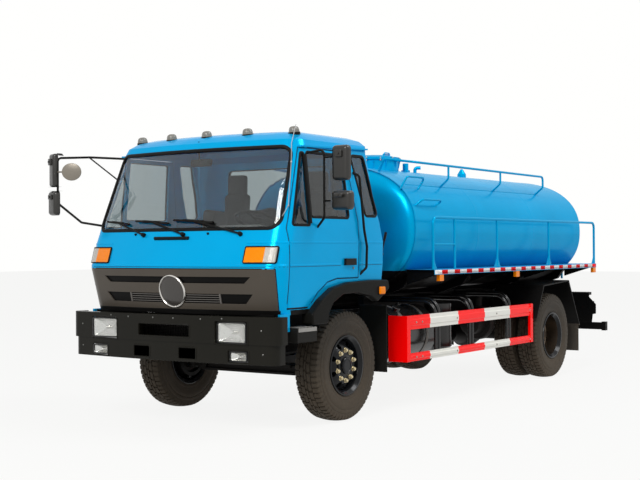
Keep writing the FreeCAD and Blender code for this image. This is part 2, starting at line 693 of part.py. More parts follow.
def bumper():
    """Deep two-stage bumper, open behind, with lamp recesses, plate slot and tow openings."""
    upper = bumper_plan(BUMPER_HALF_X, BUMPER_SEAM, BUMPER_TOP, 0.0)
    lower = bumper_plan(BUMPER_HALF_X - BUMPER_STEP, BUMPER_BOTTOM, BUMPER_SEAM, 8.0)
    solid = upper.fuse(lower)
    hollow = bumper_plan(BUMPER_HALF_X - BUMPER_STEP, BUMPER_BOTTOM - 1.0, BUMPER_TOP - BUMPER_WALL,
        BUMPER_WALL + 8.0)
    above = bumper_plan(BUMPER_HALF_X, BUMPER_TOP - BUMPER_WALL - 1.0, BUMPER_TOP + 1.0, 66.0)
    solid = solid.cut([hollow, above])
    reach = (at(BUMPER_FRONT) - 10.0, at(BUMPER_FRONT) + 160.0)
    holes = [box(-298.0, 298.0, reach[0], reach[1], 850.0, 952.0)]
    for side in (-1, 1):
        for x, z, wide, high in ((270.0, 703.0, 186.0, 93.0), (HEADLAMP_X, HEADLAMP_Z, 330.0, 190.0),
                (FOG_X, FOG_Z, 204.0, 96.0)):
            cx = side * x
            holes.append(box(cx - wide / 2, cx + wide / 2, reach[0], reach[1], z - high / 2, z + high / 2))
    solid = solid.cut(holes)
    brackets = []
    envelope = bumper_plan(BUMPER_HALF_X - BUMPER_STEP, BUMPER_BOTTOM, BUMPER_TOP - 20.0, BUMPER_WALL)
    for side in (-1, 1):
        x0, x1 = (380.0, 430.0) if side > 0 else (-430.0, -380.0)
        arm = box(x0, x1, at(BUMPER_FRONT), at(RAIL_FRONT), 760.0, 960.0)
        brackets.append(arm.common(envelope))
    return join([solid] + brackets)


def front_lamps():
    """Headlamp and fog lamp bodies that sit in the bumper's recesses."""
    solids = []
    front = at(BUMPER_FRONT)
    for side in (-1, 1):
        for x, z, wide, high, back, ahead in (
            (HEADLAMP_X, HEADLAMP_Z, 329.4, 189.4, 110.0, 50.0),
            (FOG_X, FOG_Z, 203.4, 95.4, 100.0, 54.0),
        ):
            cx = side * x
            body = box(cx - wide / 2, cx + wide / 2, front + ahead, front + back, z - high / 2,
                z + high / 2)
            face = box(cx - wide * 0.42, cx + wide * 0.42, front + ahead - 18.0, front + ahead + 2.0,
                z - high * 0.43, z + high * 0.43)
            solids.append(join([body, face]))
    return group(solids)


# Tank

def tank_ring(y, inset):
    """Oval section of the tank, drawn in by an inset, as one closed curve."""
    half_x, half_z = TANK_HALF_X - inset, TANK_HALF_Z - inset
    points = []
    count = 28
    for step in range(count):
        angle = 2 * math.pi * step / count
        c, s = math.cos(angle), math.sin(angle)
        x = half_x * math.copysign(abs(c) ** (2 / TANK_POWER), c)
        z = half_z * math.copysign(abs(s) ** (2 / TANK_POWER), s)
        points.append(vec(x, y, TANK_Z + z))
    curve = Part.BSplineCurve()
    curve.interpolate(points, True)
    return Part.Wire([curve.toShape()])


def tank_surface_z(x, raised):
    """Height of the tank's upper surface at a distance from the middle."""
    share = 1 - (abs(x) / TANK_HALF_X) ** TANK_POWER
    return TANK_Z + TANK_HALF_Z * share ** (1 / TANK_POWER) + raised


def tank(grow=0.0):
    """Oval barrel with dished ends, grown all round to seat other parts against it."""
    head_front = at(TANK_FRONT) + HEAD_DEPTH
    head_rear = at(TANK_REAR) - HEAD_DEPTH
    steps = ((HEAD_DEPTH, 420.0), (HEAD_DEPTH * 0.86, 230.0), (HEAD_DEPTH * 0.58, 100.0),
        (HEAD_DEPTH * 0.24, 26.0))
    front = [tank_ring(head_front - deep - grow, inset - grow) for deep, inset in steps]
    rear = [tank_ring(head_rear + deep + grow, inset - grow) for deep, inset in reversed(steps)]
    rings = front + [tank_ring(head_front, -grow), tank_ring(head_rear, -grow)] + rear
    return Part.makeLoft(rings, True, True)


def tank_subframe(barrel_solid):
    """Sills on the rails with four saddles that cradle the tank."""
    flange_in = RAIL_OUT_X - RAIL_FLANGE
    pieces = []
    for side in (-1, 1):
        x0, x1 = sorted((side * flange_in, side * RAIL_OUT_X))
        pieces.append(box(x0, x1, at(TANK_FRONT + 60.0), at(TANK_REAR + 120.0), RAIL_TOP, SILL_TOP))
    for place in SADDLE_AT:
        y0, y1 = at(place) - SADDLE_THICK / 2, at(place) + SADDLE_THICK / 2
        right = [(RAIL_OUT_X, SILL_TOP - 30.0), (SADDLE_OUT_X - 100.0, 1200.0), (SADDLE_OUT_X, SADDLE_TOP)]
        outline = right + [(-x, z) for x, z in right[::-1]]
        pieces.append(plate_y(outline, y0, y1))
    return join(pieces).cut(barrel_solid)


def walkways(barrel_solid):
    """Side platforms with a turned-down lip and brackets below."""
    pieces = []
    y0, y1 = at(WALK_FRONT), at(WALK_REAR)
    plate = box(820.0, WALK_OUT_X, y0, y1, WALK_TOP - WALK_PLATE, WALK_TOP)
    lip = box(WALK_OUT_X - WALK_PLATE, WALK_OUT_X, y0, y1, WALK_TOP - WALK_LIP, WALK_TOP)
    pieces += [plate, lip]
    for place in (1500.0, 2960.0, 4410.0, 5700.0):
        inner, outer = SADDLE_OUT_X + SEAT_GAP, WALK_OUT_X - 2.0
        outline = [(inner, WALK_TOP - 1.0), (outer, WALK_TOP - 1.0), (outer, WALK_TOP - WALK_LIP),
            (inner, 1235.0)]
        pieces.append(plate_y(outline, at(place) - 20.0, at(place) + 20.0))
    solid = join(pieces).cut(barrel_solid)
    solid = max(solid.Solids, key=lambda item: item.Volume)
    return pair(solid)


def side_railings():
    """Tube railing on each walkway: five posts, a rung and a foot gusset at four posts."""
    x = RAILING_X
    z0 = WALK_TOP
    first, last = at(POSTS_AT[0]), at(POSTS_AT[-1])
    hoop = [vec(x, first, z0), vec(x, first, RAILING_TOP), vec(x, last, RAILING_TOP), vec(x, last, z0)]
    pieces = [bent_rod(hoop, RAILING_RADIUS, 70.0)]
    for place in POSTS_AT[1:-1]:
        pieces.append(rod(vec(x, at(place), z0), vec(x, at(place), RAILING_TOP), RAILING_RADIUS * 0.9))
    pieces.append(rod(vec(x, first, RUNG_Z), vec(x, at(POSTS_AT[1]), RUNG_Z), RAILING_RADIUS * 0.8))
    for index, place in enumerate(POSTS_AT):
        if index == 1:
            continue
        y = at(place)
        before, after = (0.0 if index == 0 else 75.0), (0.0 if index == len(POSTS_AT) - 1 else 75.0)
        outline = [(y - before - 6.0, z0), (y + after + 6.0, z0), (y + 6.0, z0 + 120.0),
            (y - 6.0, z0 + 120.0)]
        pieces.append(plate_x(outline, x - 4.0, x + 4.0))
    return pair(join(pieces))


def hatch_collar(barrel_solid):
    """Round filler neck with a bolting flange."""
    y = at(HATCH_AT)
    base = tank_surface_z(HATCH_RADIUS, -60.0)
    neck = rod(vec(0, y, base), vec(0, y, HATCH_TOP), HATCH_RADIUS)
    flange = rod(vec(0, y, HATCH_TOP - HATCH_FLANGE), vec(0, y, HATCH_TOP), HATCH_FLANGE_RADIUS)
    well = rod(vec(0, y, base - 1), vec(0, y, HATCH_TOP + 1), HATCH_RADIUS - HATCH_WALL)
    ears = []
    for side in (-1, 1):
        ear = box(-HATCH_FLANGE_RADIUS - 60.0, -HATCH_FLANGE_RADIUS + 22.0, y + side * 90.0 - 8.0,
            y + side * 90.0 + 8.0,
                  HATCH_TOP - HATCH_FLANGE, HATCH_TOP + LID_THICK)
        ears.append(ear)
    hinge = vec(-HATCH_FLANGE_RADIUS - 40.0, y, HATCH_TOP + LID_THICK / 2)
    holes = [rod(hinge.add(vec(0, -110.0, 0)), hinge.add(vec(0, 110.0, 0)), 5.0 + RUN_FIT)]
    return join([neck, flange] + ears).cut([well, barrel_solid] + holes)


def hatch_lid():
    """Domed lid with a lifting handle and a hinge tongue and pin on its -X side."""
    y = at(HATCH_AT)
    z = HATCH_TOP + LID_GAP
    plate = rod(vec(0, y, z), vec(0, y, z + LID_THICK), HATCH_FLANGE_RADIUS - 16.0)
    dome = Part.makeCone(HATCH_RADIUS - 20.0, HATCH_RADIUS - 90.0, 24.0, vec(0, y, z + LID_THICK),
        vec(0, 0, 1))
    tongue = box(-HATCH_FLANGE_RADIUS - 50.0, -HATCH_RADIUS, y - 70.0, y + 70.0, z + 1.0,
        z + LID_THICK - 1.0)
    hinge = vec(-HATCH_FLANGE_RADIUS - 40.0, y, HATCH_TOP + LID_THICK / 2)
    pin = rod(hinge.add(vec(0, -104.0, 0)), hinge.add(vec(0, 104.0, 0)), 5.0)
    grip_z = z + LID_THICK + 52.0
    grip = [vec(170.0, y - 60.0, z + LID_THICK), vec(170.0, y - 60.0, grip_z), vec(170.0, y + 60.0, grip_z)]
    grip.append(vec(170.0, y + 60.0, z + LID_THICK))
    handle = bent_rod(grip, 7.0, 20.0)
    return join([plate, dome, tongue, pin, handle])


def top_vents(barrel_solid):
    """Air valve, breather and pressure valve on the tank's ridge."""
    solids = []
    x, y = 200.0, at(2640.0)
    base = tank_surface_z(x, -12.0)
    solids.append(join([rod(vec(x, y, base), vec(x, y, base + 110.0), 34.0),
        rod(vec(x, y, base), vec(x, y, base + 30.0), 52.0)]))
    y = at(2860.0)
    elbow = bent_rod([vec(x, y, base), vec(x, y, base + 70.0), vec(x + 60.0, y + 30.0, base + 70.0)],
        20.0, 30.0)
    solids.append(elbow)
    y = at(4430.0)
    base = tank_surface_z(0.0, -4.0)
    stem = rod(vec(0, y, base), vec(0, y, base + 60.0), 56.0)
    cap = Part.makeCone(56.0, 14.0, 68.0, vec(0, y, base + 60.0), vec(0, 0, 1))
    solids.append(join([stem, cap]))
    return group([solid.cut(barrel_solid) for solid in solids])


def top_rails(barrel_solid):
    """Handrail above each shoulder of the tank, on a base strip, with bent posts and a curved front end."""
    z = TOP_RAIL_Z
    foot_z = tank_surface_z(TOP_FOOT_X, -8.0)
    front_foot = vec(490.0, at(1570.0), tank_surface_z(490.0, -10.0))
    rear = at(TOP_POSTS_AT[-1])
    path = [front_foot, vec(560.0, at(1560.0), z + 62.0), vec(TOP_RAIL_X, at(1600.0), z + 10.0)]
    path += [vec(TOP_RAIL_X, rear, z), vec(TOP_RAIL_X, rear, foot_z + 90.0), vec(TOP_FOOT_X, rear, foot_z)]
    pieces = [bent_rod(path, TOP_RAIL_RADIUS, 48.0)]
    for place in TOP_POSTS_AT[:-1]:
        y = at(place)
        post = [vec(TOP_RAIL_X, y, z), vec(TOP_RAIL_X, y, foot_z + 90.0), vec(TOP_FOOT_X, y, foot_z)]
        pieces.append(bent_rod(post, TOP_RAIL_RADIUS * 0.9, 60.0))
    pieces.append(rod(vec(TOP_FOOT_X, at(1540.0), foot_z), vec(TOP_FOOT_X, rear, foot_z), 12.0))
    rails = max(join(pieces).cut(barrel_solid).Solids, key=lambda item: item.Volume)
    return group(both(rails) + climbing_grips(barrel_solid))


def climbing_grips(barrel_solid):
    """Two bar grips on the tank's shoulder, on the driver's side."""
    solids = []
    for base_x, top_x, top_z, y0, y1 in GRIPS:
        base_z = tank_surface_z(base_x, -10.0)
        path = [vec(base_x, at(y0), base_z), vec(top_x, at(y0) + 40.0, top_z)]
        path += [vec(top_x, at(y1), top_z), vec(base_x, at(y1) - 60.0, base_z)]
        bar = bent_rod(path, 11.0, 36.0).cut(barrel_solid)
        solids.append(max(bar.Solids, key=lambda solid: solid.Volume))
    return solids


# Chassis equipment

def guard_rail(y0, y1, z0, z1):
    """Pressed rail with a raised band along its middle."""
    inner = GUARD_OUT_X - GUARD_THICK
    step = 8.0
    third = (z1 - z0) / 4
    outline = [(inner, z0), (GUARD_OUT_X - step, z0), (GUARD_OUT_X - step, z0 + third),
        (GUARD_OUT_X, z0 + third + step)]
    outline += [(GUARD_OUT_X, z1 - third - step), (GUARD_OUT_X - step, z1 - third),
        (GUARD_OUT_X - step, z1), (inner, z1)]
    return plate_y(outline, y0, y1)


def side_guards():
    """Two rails on an upright at each end, with a plate across the front end."""
    y0, y1 = at(GUARD_FRONT), at(GUARD_REAR)
    inner = GUARD_OUT_X - GUARD_THICK
    top = guard_rail(y0, y1, *GUARD_TOP)
    low = guard_rail(y0, y1, *GUARD_LOW)
    plate = box(GUARD_FRONT_IN, GUARD_OUT_X, y0, y0 + 30.0, GUARD_LOW[0], GUARD_TOP[1])
    post = box(inner, GUARD_OUT_X, y0, y0 + GUARD_POST, GUARD_LOW[0], GUARD_TOP[1])
    rear = box(inner, GUARD_OUT_X, y1 - GUARD_POST, y1, GUARD_LOW[0], GUARD_TOP[1])
    return pair(join([top, low, plate, post, rear]))


def guard_pipes():
    """Three pairs of bent pipes a side, from the sills out and down to the guard's lower rail."""
    solids = []
    drop_x = GUARD_OUT_X - GUARD_THICK - PIPE_RADIUS - LID_GAP
    z_end = GUARD_LOW[0] + 20.0
    for place in PIPES_AT:
        for offset, lower in ((0.0, 0.0), (-64.0, 70.0)):
            y = at(place + offset)
            z = SILL_TOP - PIPE_RADIUS - 4.0 - lower * 0.4
            path = [vec(RAIL_OUT_X, y, z), vec(drop_x, y, z), vec(drop_x, y, z_end)]
            solids += both(bent_rod(path, PIPE_RADIUS, 150.0))
    return group(solids)


def fuel_tank():
    """Horizontal drum on two brackets, held by straps."""
    drum = rod(vec(FUEL_X, at(FUEL_FRONT), FUEL_Z), vec(FUEL_X, at(FUEL_REAR), FUEL_Z), FUEL_RADIUS)
    pieces = [drum]
    for place in (FUEL_FRONT + 200.0, FUEL_REAR - 200.0):
        y0, y1 = at(place) - 25.0, at(place) + 25.0
        pieces.append(rod(vec(FUEL_X, y0, FUEL_Z), vec(FUEL_X, y1, FUEL_Z), FUEL_RADIUS + FUEL_STRAP))
        pieces.append(box(RAIL_OUT_X, FUEL_X, y0, y1, FUEL_Z - 90.0, FUEL_Z + 160.0))
    return join(pieces)


def air_canister():
    """Upright filter canister on a bracket, driver's side."""
    x, y = 840.0, at(2230.0)
    body = rod(vec(x, y, 540.0), vec(x, y, 1010.0), 150.0)
    foot = Part.makeCone(110.0, 150.0, 40.0, vec(x, y, 500.0), vec(0, 0, 1))
    bracket = box(RAIL_OUT_X, x, y - 60.0, y + 60.0, 800.0, 930.0)
    return join([body, foot, bracket])


def battery_box():
    """Battery box on the passenger's side, behind the guard's front plate."""
    body = box(-1060.0, -520.0, at(1000.0), at(1590.0), 560.0, 900.0)
    lid = box(-1070.0, -510.0, at(990.0), at(1600.0), 900.0, 930.0)
    bracket = box(-530.0, -RAIL_OUT_X, at(1080.0), at(1500.0), 760.0, 860.0)
    return join([body, lid, bracket])


def air_tank():
    """Brake air cylinder on two brackets, on the passenger's side."""
    x, z = -720.0, 760.0
    pieces = [rod(vec(x, at(1900.0), z), vec(x, at(2620.0), z), 130.0)]
    for place in (2040.0, 2480.0):
        pieces.append(box(x, -RAIL_OUT_X, at(place) - 20.0, at(place) + 20.0, z - 60.0, z + 120.0))
    return join(pieces)


def steps():
    """Cab step on each side with its hanger from the rail, and the flap behind the front wheel."""
    x0, x1 = 980.0, 1185.0
    tread = box(x0, x1, at(-940.0), at(-640.0), 905.0, 930.0)
    front = box(x0, x1, at(-940.0), at(-915.0), 800.0, 930.0)
    toe = box(x1 - 22.0, x1, at(-940.0), at(-640.0), 800.0, 930.0)
    floor = box(x0, x1, at(-940.0), at(-640.0), 800.0, 815.0)
    arm = box(RAIL_OUT_X, x0 + 20.0, at(-930.0), at(-870.0), 850.0, 925.0)
    step = join([tread, front, toe, floor, arm])
    flap = box(800.0, 1120.0, at(668.0), at(678.0), 400.0, 1060.0)
    stay = box(RAIL_OUT_X, 1100.0, at(678.0), at(708.0), 930.0, 975.0)
    return group(both(step) + both(join([flap, stay])))


def rear_mudguards():
    """Folded sheet over each pair of rear wheels on two stays, with a flap behind."""
    x0, x1 = MUDGUARD_X
    t = MUDGUARD_SHEET
    outer = placed([(WHEELBASE + place, z) for place, z in MUDGUARD])
    shifts = ((t, 0.0), (t, -t), (-t, -t), (-t, 0.0))
    inner = [(y + dy, z + dz) for (y, z), (dy, dz) in zip(outer, shifts)]
    pieces = [plate_x(outer + inner[::-1], x0, x1)]
    below = plate_x(outer, x0, x1)
    for place in (-180.0, 420.0):
        y0 = at(WHEELBASE + place)
        pieces.append(box(x0, x0 + 35.0, y0, y0 + 40.0, 900.0, 1300.0).common(below))
        pieces.append(box(RAIL_OUT_X, x0 + 35.0, y0, y0 + 40.0, 900.0, 960.0))
    back = at(WHEELBASE + MUDGUARD[-1][0])
    pieces.append(box(x0 + 20.0, x1 - 20.0, back - t + 2.0, back - 2.0, 270.0, 620.0))
    saddle = at(SADDLE_AT[2])
    reach = SADDLE_THICK / 2 + SADDLE_CLEAR
    notch = box(x0 - 1.0, x0 + 110.0, saddle - reach, saddle + reach, 1120.0, 1220.0)
    return pair(join(pieces).cut(notch))


def underrun_bar():
    """Rear underrun beam with end caps, hanger plates and the lamp carrier above it."""
    y = RAIL_REAR
    beam = box(-1060.0, 1060.0, at(y + 100.0), at(y + 160.0), 462.0, 560.0)
    caps = [box(side * 1075.0 - 30.0, side * 1075.0 + 30.0, at(y + 92.0), at(y + 168.0), 450.0,
        572.0) for side in (-1, 1)]
    carrier = box(-960.0, 960.0, at(y), at(y + 50.0), 700.0, 860.0)
    shelf = box(-860.0, 860.0, at(y), at(y + 120.0), 930.0, 985.0)
    plates = []
    for side in (-1, 1):
        x0, x1 = sorted((side * 380.0, side * 430.0))
        plates.append(box(x0, x1, at(y), at(y + 110.0), 462.0, 985.0))
    return join([beam, carrier, shelf] + caps + plates)


def tail_lamps():
    """Rear lamp clusters on the carrier and amber side markers under the walkways."""
    solids = []
    y = RAIL_REAR + 50.0
    for side in (-1, 1):
        x0, x1 = sorted((side * 560.0, side * 900.0))
        solids.append(box(x0, x1, at(y) + LID_GAP, at(y + 60.0), 730.0, 850.0))
    marks = []
    for place in (1600.0, 3465.0, 5870.0):
        marks.append(box(WALK_OUT_X - 40.0, WALK_OUT_X, at(place) - 45.0, at(place) + 45.0,
            WALK_TOP - WALK_LIP - 68.0, WALK_TOP - WALK_LIP))
    for mark in marks:
        solids += both(mark)
    return group(solids)


def rear_ladder(barrel_solid):
    """Ladder on stand-offs at the tank's rear end."""
    start, y = at(TANK_REAR - 120.0), at(TANK_REAR + 70.0)
    top_z, low_z, foot_z = TANK_Z + 440.0, TANK_Z - 374.0, 1190.0
    pieces = []
    for x in (380.0, 740.0):
        pieces.append(bent_rod([vec(x, start, top_z), vec(x, y, top_z), vec(x, y, foot_z)], 14.0, 40.0))
        pieces.append(rod(vec(x, start, low_z), vec(x, y, low_z), 14.0))
    for step in range(5):
        z = 1290.0 + step * 220.0
        pieces.append(rod(vec(380.0, y, z), vec(740.0, y, z), 12.0))
    return max(join(pieces).cut(barrel_solid).Solids, key=lambda item: item.Volume)


def outlet_pipe(barrel_solid):
    """Drain pipe with a flanged valve below the tank's rear end."""
    y, z, end = at(5600.0), OUTLET_Z, at(OUTLET_AT)
    path = [vec(0, y, TANK_Z - TANK_HALF_Z + 30.0), vec(0, y, z), vec(0, end, z), vec(0, end, OUTLET_END_Z)]
    pipe = bent_rod(path, OUTLET_RADIUS, 70.0)
    flange = rod(vec(0, at(6060.0), z), vec(0, at(6100.0), z), OUTLET_RADIUS + 38.0)
    valve = rod(vec(0, at(6150.0), z), vec(0, at(6150.0), z + 130.0), 28.0)
    return join([pipe, flange, valve]).cut(barrel_solid)


# Cab

def cab_outline(z, half, front, rear, inset):
    """Plan of the cab at one height: bowed front, wide corners, straight sides."""
    half, front, rear = half - inset, at(front) + inset, at(rear) - inset
    corner_x = half - CORNER_IN + inset
    corner_y = front + CAB_BOW
    side_y = corner_y + CORNER_BACK
    mid_x, mid_y = corner_x + (half - corner_x) * 0.66, corner_y + CORNER_BACK * 0.27
    turn = REAR_CORNER
    knee = turn * (1 - math.sqrt(0.5))

    def point(x, y):
        return vec(x, y, z)

    edges = [
        Part.Arc(point(-corner_x, corner_y), point(0, front), point(corner_x, corner_y)).toShape(),
        Part.Arc(point(corner_x, corner_y), point(mid_x, mid_y), point(half, side_y)).toShape(),
        Part.LineSegment(point(half, side_y), point(half, rear - turn)).toShape(),
        Part.Arc(point(half, rear - turn), point(half - knee, rear - knee),
            point(half - turn, rear)).toShape(),
        Part.LineSegment(point(half - turn, rear), point(-half + turn, rear)).toShape(),
        Part.Arc(point(-half + turn, rear), point(-half + knee, rear - knee),
            point(-half, rear - turn)).toShape(),
        Part.LineSegment(point(-half, rear - turn), point(-half, side_y)).toShape(),
        Part.Arc(point(-half, side_y), point(-mid_x, mid_y), point(-corner_x, corner_y)).toShape(),
    ]
    return Part.Wire(edges)


def cab_form(inset, drop):
    """Solid bounded by the cab's skin drawn in by an inset, its roof lowered and floor raised by a drop."""
    low, high = CAB_LEVELS[0][0] + drop, CAB_LEVELS[-1][0] - drop
    span = CAB_LEVELS[-1][0] - CAB_LEVELS[0][0]
    rings = []
    for z, half, front, rear in CAB_LEVELS:
        level = low + (z - CAB_LEVELS[0][0]) * (high - low) / span
        rings.append(cab_outline(level, half, front, rear, inset))
    return Part.makeLoft(rings, True, True)


def wheel_well(grow):
    """Space below the raised floor, over the front wheels."""
    outline = [(at(WELL_FRONT) - grow, 900.0), (at(WELL_FRONT) - grow, 1080.0),
        (at(-470.0) - grow, 1180.0 + grow)]
    outline += [(at(-360.0) - grow, WELL_TOP + grow), (at(900.0), WELL_TOP + grow), (at(900.0), 900.0)]
    return plate_x(outline, -1300.0, 1300.0)


def rounded_prism(points, radius, axis, low, high):
    """Prism on an outline with rounded corners, along X or Y."""
    count = len(points)
    edges = []
    arcs = []
    for index in range(count):
        before, corner, after = points[index - 1], points[index], points[(index + 1) % count]
        a = (before[0] - corner[0], before[1] - corner[1])
        b = (after[0] - corner[0], after[1] - corner[1])
        la, lb = math.hypot(*a), math.hypot(*b)
        a, b = (a[0] / la, a[1] / la), (b[0] / lb, b[1] / lb)
        half = math.acos(max(-1.0, min(1.0, a[0] * b[0] + a[1] * b[1]))) / 2
        reach = radius / math.tan(half)
        bisect = (a[0] + b[0], a[1] + b[1])
        size = math.hypot(*bisect)
        far = radius / math.sin(half) - radius
        first = (corner[0] + a[0] * reach, corner[1] + a[1] * reach)
        middle = (corner[0] + bisect[0] / size * far, corner[1] + bisect[1] / size * far)
        second = (corner[0] + b[0] * reach, corner[1] + b[1] * reach)
        arcs.append((first, middle, second))

    def place(flat):
        return vec(low, flat[0], flat[1]) if axis == "x" else vec(flat[0], low, flat[1])

    for index in range(count):
        first, middle, second = arcs[index]
        edges.append(Part.Arc(place(first), place(middle), place(second)).toShape())
        edges.append(Part.LineSegment(place(second), place(arcs[(index + 1) % count][0])).toShape())
    along = vec(high - low, 0, 0) if axis == "x" else vec(0, high - low, 0)
    return Part.Face(Part.Wire(edges)).extrude(along)


def door_region(gap):
    """Space that a door takes in the cab's side, drawn in all round by a gap."""
    outline = placed(list(DOOR))
    if gap:
        loop = Part.makePolygon([vec(0, y, z) for y, z in outline + outline[:1]])
        smaller = loop.makeOffset2D(-gap, 2)
        outline = [(corner.Y, corner.Z) for corner in smaller.OrderedVertexes]
    return plate_x(outline, 700.0, 1400.0)


def glass_region(outline, radius):
    return rounded_prism(placed(list(outline)), radius, "x", 700.0, 1400.0)


def cab_parts():
    """Shell, front panel, glass and doors, all cut from the same skins."""
    outer = cab_form(0.0, 0.0).cut(wheel_well(0.0))
    inner = cab_form(CAB_WALL, FLOOR_THICK).cut(wheel_well(FLOOR_THICK))
    skin = outer.cut(inner)
    screen = rounded_prism(list(SCREEN), 90.0, "y", at(-1500.0), at(-600.0))
    rear_screen = rounded_prism(list(REAR_SCREEN), 60.0, "y", at(200.0), at(800.0))
    quarter = glass_region(QUARTER, 36.0)
    doorway = door_region(0.0)
    grille_zone = plate_y(list(GRILLE), at(-1500.0), at(-900.0))
    under_skin = cab_form(SKIN_SET + PANEL_GAP, 0.0)
    recess = outer.cut(under_skin).common(grille_zone)
    openings = [screen, rear_screen, quarter, mirrored(quarter), doorway, mirrored(doorway), recess]
    shell = skin.cut(openings)
    shell = max(shell.Solids, key=lambda item: item.Volume)

    front = outer.cut(cab_form(SKIN_SET, 0.0)).common(grille_zone)
    pane = cab_form(GLASS_SET, 0.0).cut(cab_form(GLASS_SET + GLASS_THICK, 0.0))
    panes = [pane.common(screen), pane.common(rear_screen), pane.common(quarter)]
    panes.append(mirrored(panes[-1]))

    leaf = skin.common(door_region(DOOR_GAP))
    door_holes = [glass_region(outline, radius) for outline, radius in zip(DOOR_GLASS, DOOR_GLASS_RADII)]
    door = leaf.cut(door_holes)
    door_panes = [pane.common(hole) for hole in door_holes]
    return shell, front, group(panes), door, group(door_panes)


def grille_slots(panel):
    """Tapered air slots in the front panel, the lower one with four bars."""
    y0, y1 = at(-1500.0), at(-1000.0)
    upper = plate_y([(-870.0, 1380.0), (-800.0, 1322.0), (800.0, 1322.0), (870.0, 1380.0)], y0, y1)
    lower = [(-870.0, 1228.0), (-790.0, 1142.0), (790.0, 1142.0), (870.0, 1228.0)]
    panel = panel.cut([upper, plate_y(lower, y0, y1)])
    skin = cab_form(2.0, 0.0).cut(cab_form(SKIN_SET, 0.0))
    half = BAR_HALF_X
    bars = [box(-half, half, y0, y1, 1153.0 + row * 20.0, 1159.0 + row * 20.0) for row in range(4)]
    posts = [box(x - 8.0, x + 8.0, y0, y1, 1138.0, 1232.0) for x in (8.0 - half, 0.0, half - 8.0)]
    return join([panel] + [skin.common(piece) for piece in bars + posts])


def cab_shell(shell):
    """Shell with tilt hinge ears and pins, lower front corners and the roof gutters."""
    inner = RAIL_OUT_X - RAIL_FLANGE
    y, z = at(CAB_PIVOT_Y), CAB_PIVOT_Z
    floor = CAB_LEVELS[0][0]
    side_x = CAB_LEVELS[0][1]
    ear = [box(inner + 40.0, inner + 66.0, y - CAB_EAR, y + CAB_EAR, z, floor + 10.0)]
    ear.append(rod(vec(inner + 40.0, y, z), vec(inner + 66.0, y, z), CAB_EAR))
    ear.append(rod(vec(inner + 4.0, y, z), vec(inner + 60.0, y, z), CAB_PIN_RADIUS))
    corner = box(side_x - 22.0, side_x, at(-1110.0), at(-968.0), 900.0, floor + 10.0)
    line = placed([(-730.0, 2535.0), (-730.0, 2549.0), (380.0, 2586.0), (380.0, 2572.0)])
    gutter = plate_x(line, 1050.0, 1094.0)
    pieces = ear + [corner, gutter]
    return join([shell] + pieces + [mirrored(piece) for piece in pieces])


def cab_fenders(skin_form):
    """Flared wheel-arch trim on the cab's side, with its leg in front of the wheel."""
    arch = plate_x(placed(FENDER), 1080.0, FENDER_OUT_X)
    return max(arch.cut(skin_form).Solids, key=lambda item: item.Volume)


def cab_lamps(skin_form):
    """Turn lamps at the front corners and five marker lamps on the roof's leading edge."""
    proud = cab_form(-10.0, 0.0).cut(skin_form)
    solids = []
    offset, height, wide, high = TURN_LAMP
    for side in (-1, 1):
        x = side * offset
        zone = box(x - wide / 2, x + wide / 2, at(-1500.0), at(-900.0), height - high / 2,
            height + high / 2)
        solids.append(proud.common(zone))
    for x in MARKER_LAMPS_X:
        y = at(-735.0 + 0.00014 * x * x)
        base = rod(vec(x, y, 2560.0), vec(x, y, 2700.0), 46.0)
        dome = Part.makeCone(40.0, 26.0, 46.0, vec(x, y, 2700.0), vec(0, 0, 1))
        solids.append(join([base, dome]).cut(skin_form))
    return group([max(item.Solids, key=lambda solid: solid.CenterOfMass.z) for item in solids])


def front_y(x, z):
    """Y of the cab's bowed front skin at a distance from the middle and a height."""
    pairs = zip(CAB_LEVELS, CAB_LEVELS[1:])
    low, high = next((low, high) for low, high in pairs if low[0] <= z <= high[0])
    share = (z - low[0]) / (high[0] - low[0])
    half = low[1] + share * (high[1] - low[1])
    front = low[2] + share * (high[2] - low[2])
    return at(front) + CAB_BOW * (x / (half - CORNER_IN)) ** 2


def wipers(skin_form):
    """Three wiper arms, each on a boss in the skin, with blades along the windscreen's lower edge."""
    solids = []
    for pivot_x, tip, heel in WIPERS:
        foot = vec(pivot_x, front_y(pivot_x, WIPER_PIVOT_Z), WIPER_PIVOT_Z)
        boss = rod(foot.add(vec(0, 20.0, -8.0)), foot.add(vec(0, -28.0, 11.0)), 15.0)
        ends = []
        for x, z in ((tip, 1890.0), (heel, 1860.0)):
            ends.append(vec(x, front_y(x, z) - WIPER_OFF, z))
        middle = ends[0].add(ends[1]).multiply(0.5)
        arm = rod(foot.add(vec(0, -20.0, 8.0)), middle, WIPER_RADIUS)
        blade = rod(ends[0], ends[1], WIPER_RADIUS)
        solids.append(join([boss, arm, blade]).cut(skin_form))
    return group(solids)


def mirror_head(x, y, z0, z1, half, deep):
    outline = [(x - half, z0 + 24.0), (x - half + 24.0, z0), (x + half - 24.0, z0), (x + half, z0 + 24.0)]
    outline += [(x + half, z1 - 24.0), (x + half - 24.0, z1), (x - half + 24.0, z1), (x - half, z1 - 24.0)]
    return plate_y(outline, y - deep / 2, y + deep / 2)


def mirror_left(skin_form):
    """Driver's mirror arm on the door's window divider, with a tall and a low glass."""
    y, x = at(MIRROR_LEFT_AT), MIRROR_LEFT_X
    arm = [vec(1050.0, at(-640.0), 2480.0), vec(x, y, 2510.0), vec(x, y, 1900.0),
        vec(1110.0, at(-550.0), 1790.0)]
    pieces = [bent_rod(arm, MIRROR_BAR, 40.0)]
    pieces.append(mirror_head(1420.0, y, 2228.0, 2542.0, 95.0, 70.0))
    pieces.append(mirror_head(1430.0, y, 1966.0, 2137.0, 120.0, 110.0))
    for z in (2440.0, 2050.0):
        pieces.append(rod(vec(x, y, z), vec(1400.0, y, z), 9.0))
    return max(join(pieces).cut(skin_form).Solids, key=lambda item: item.Volume)


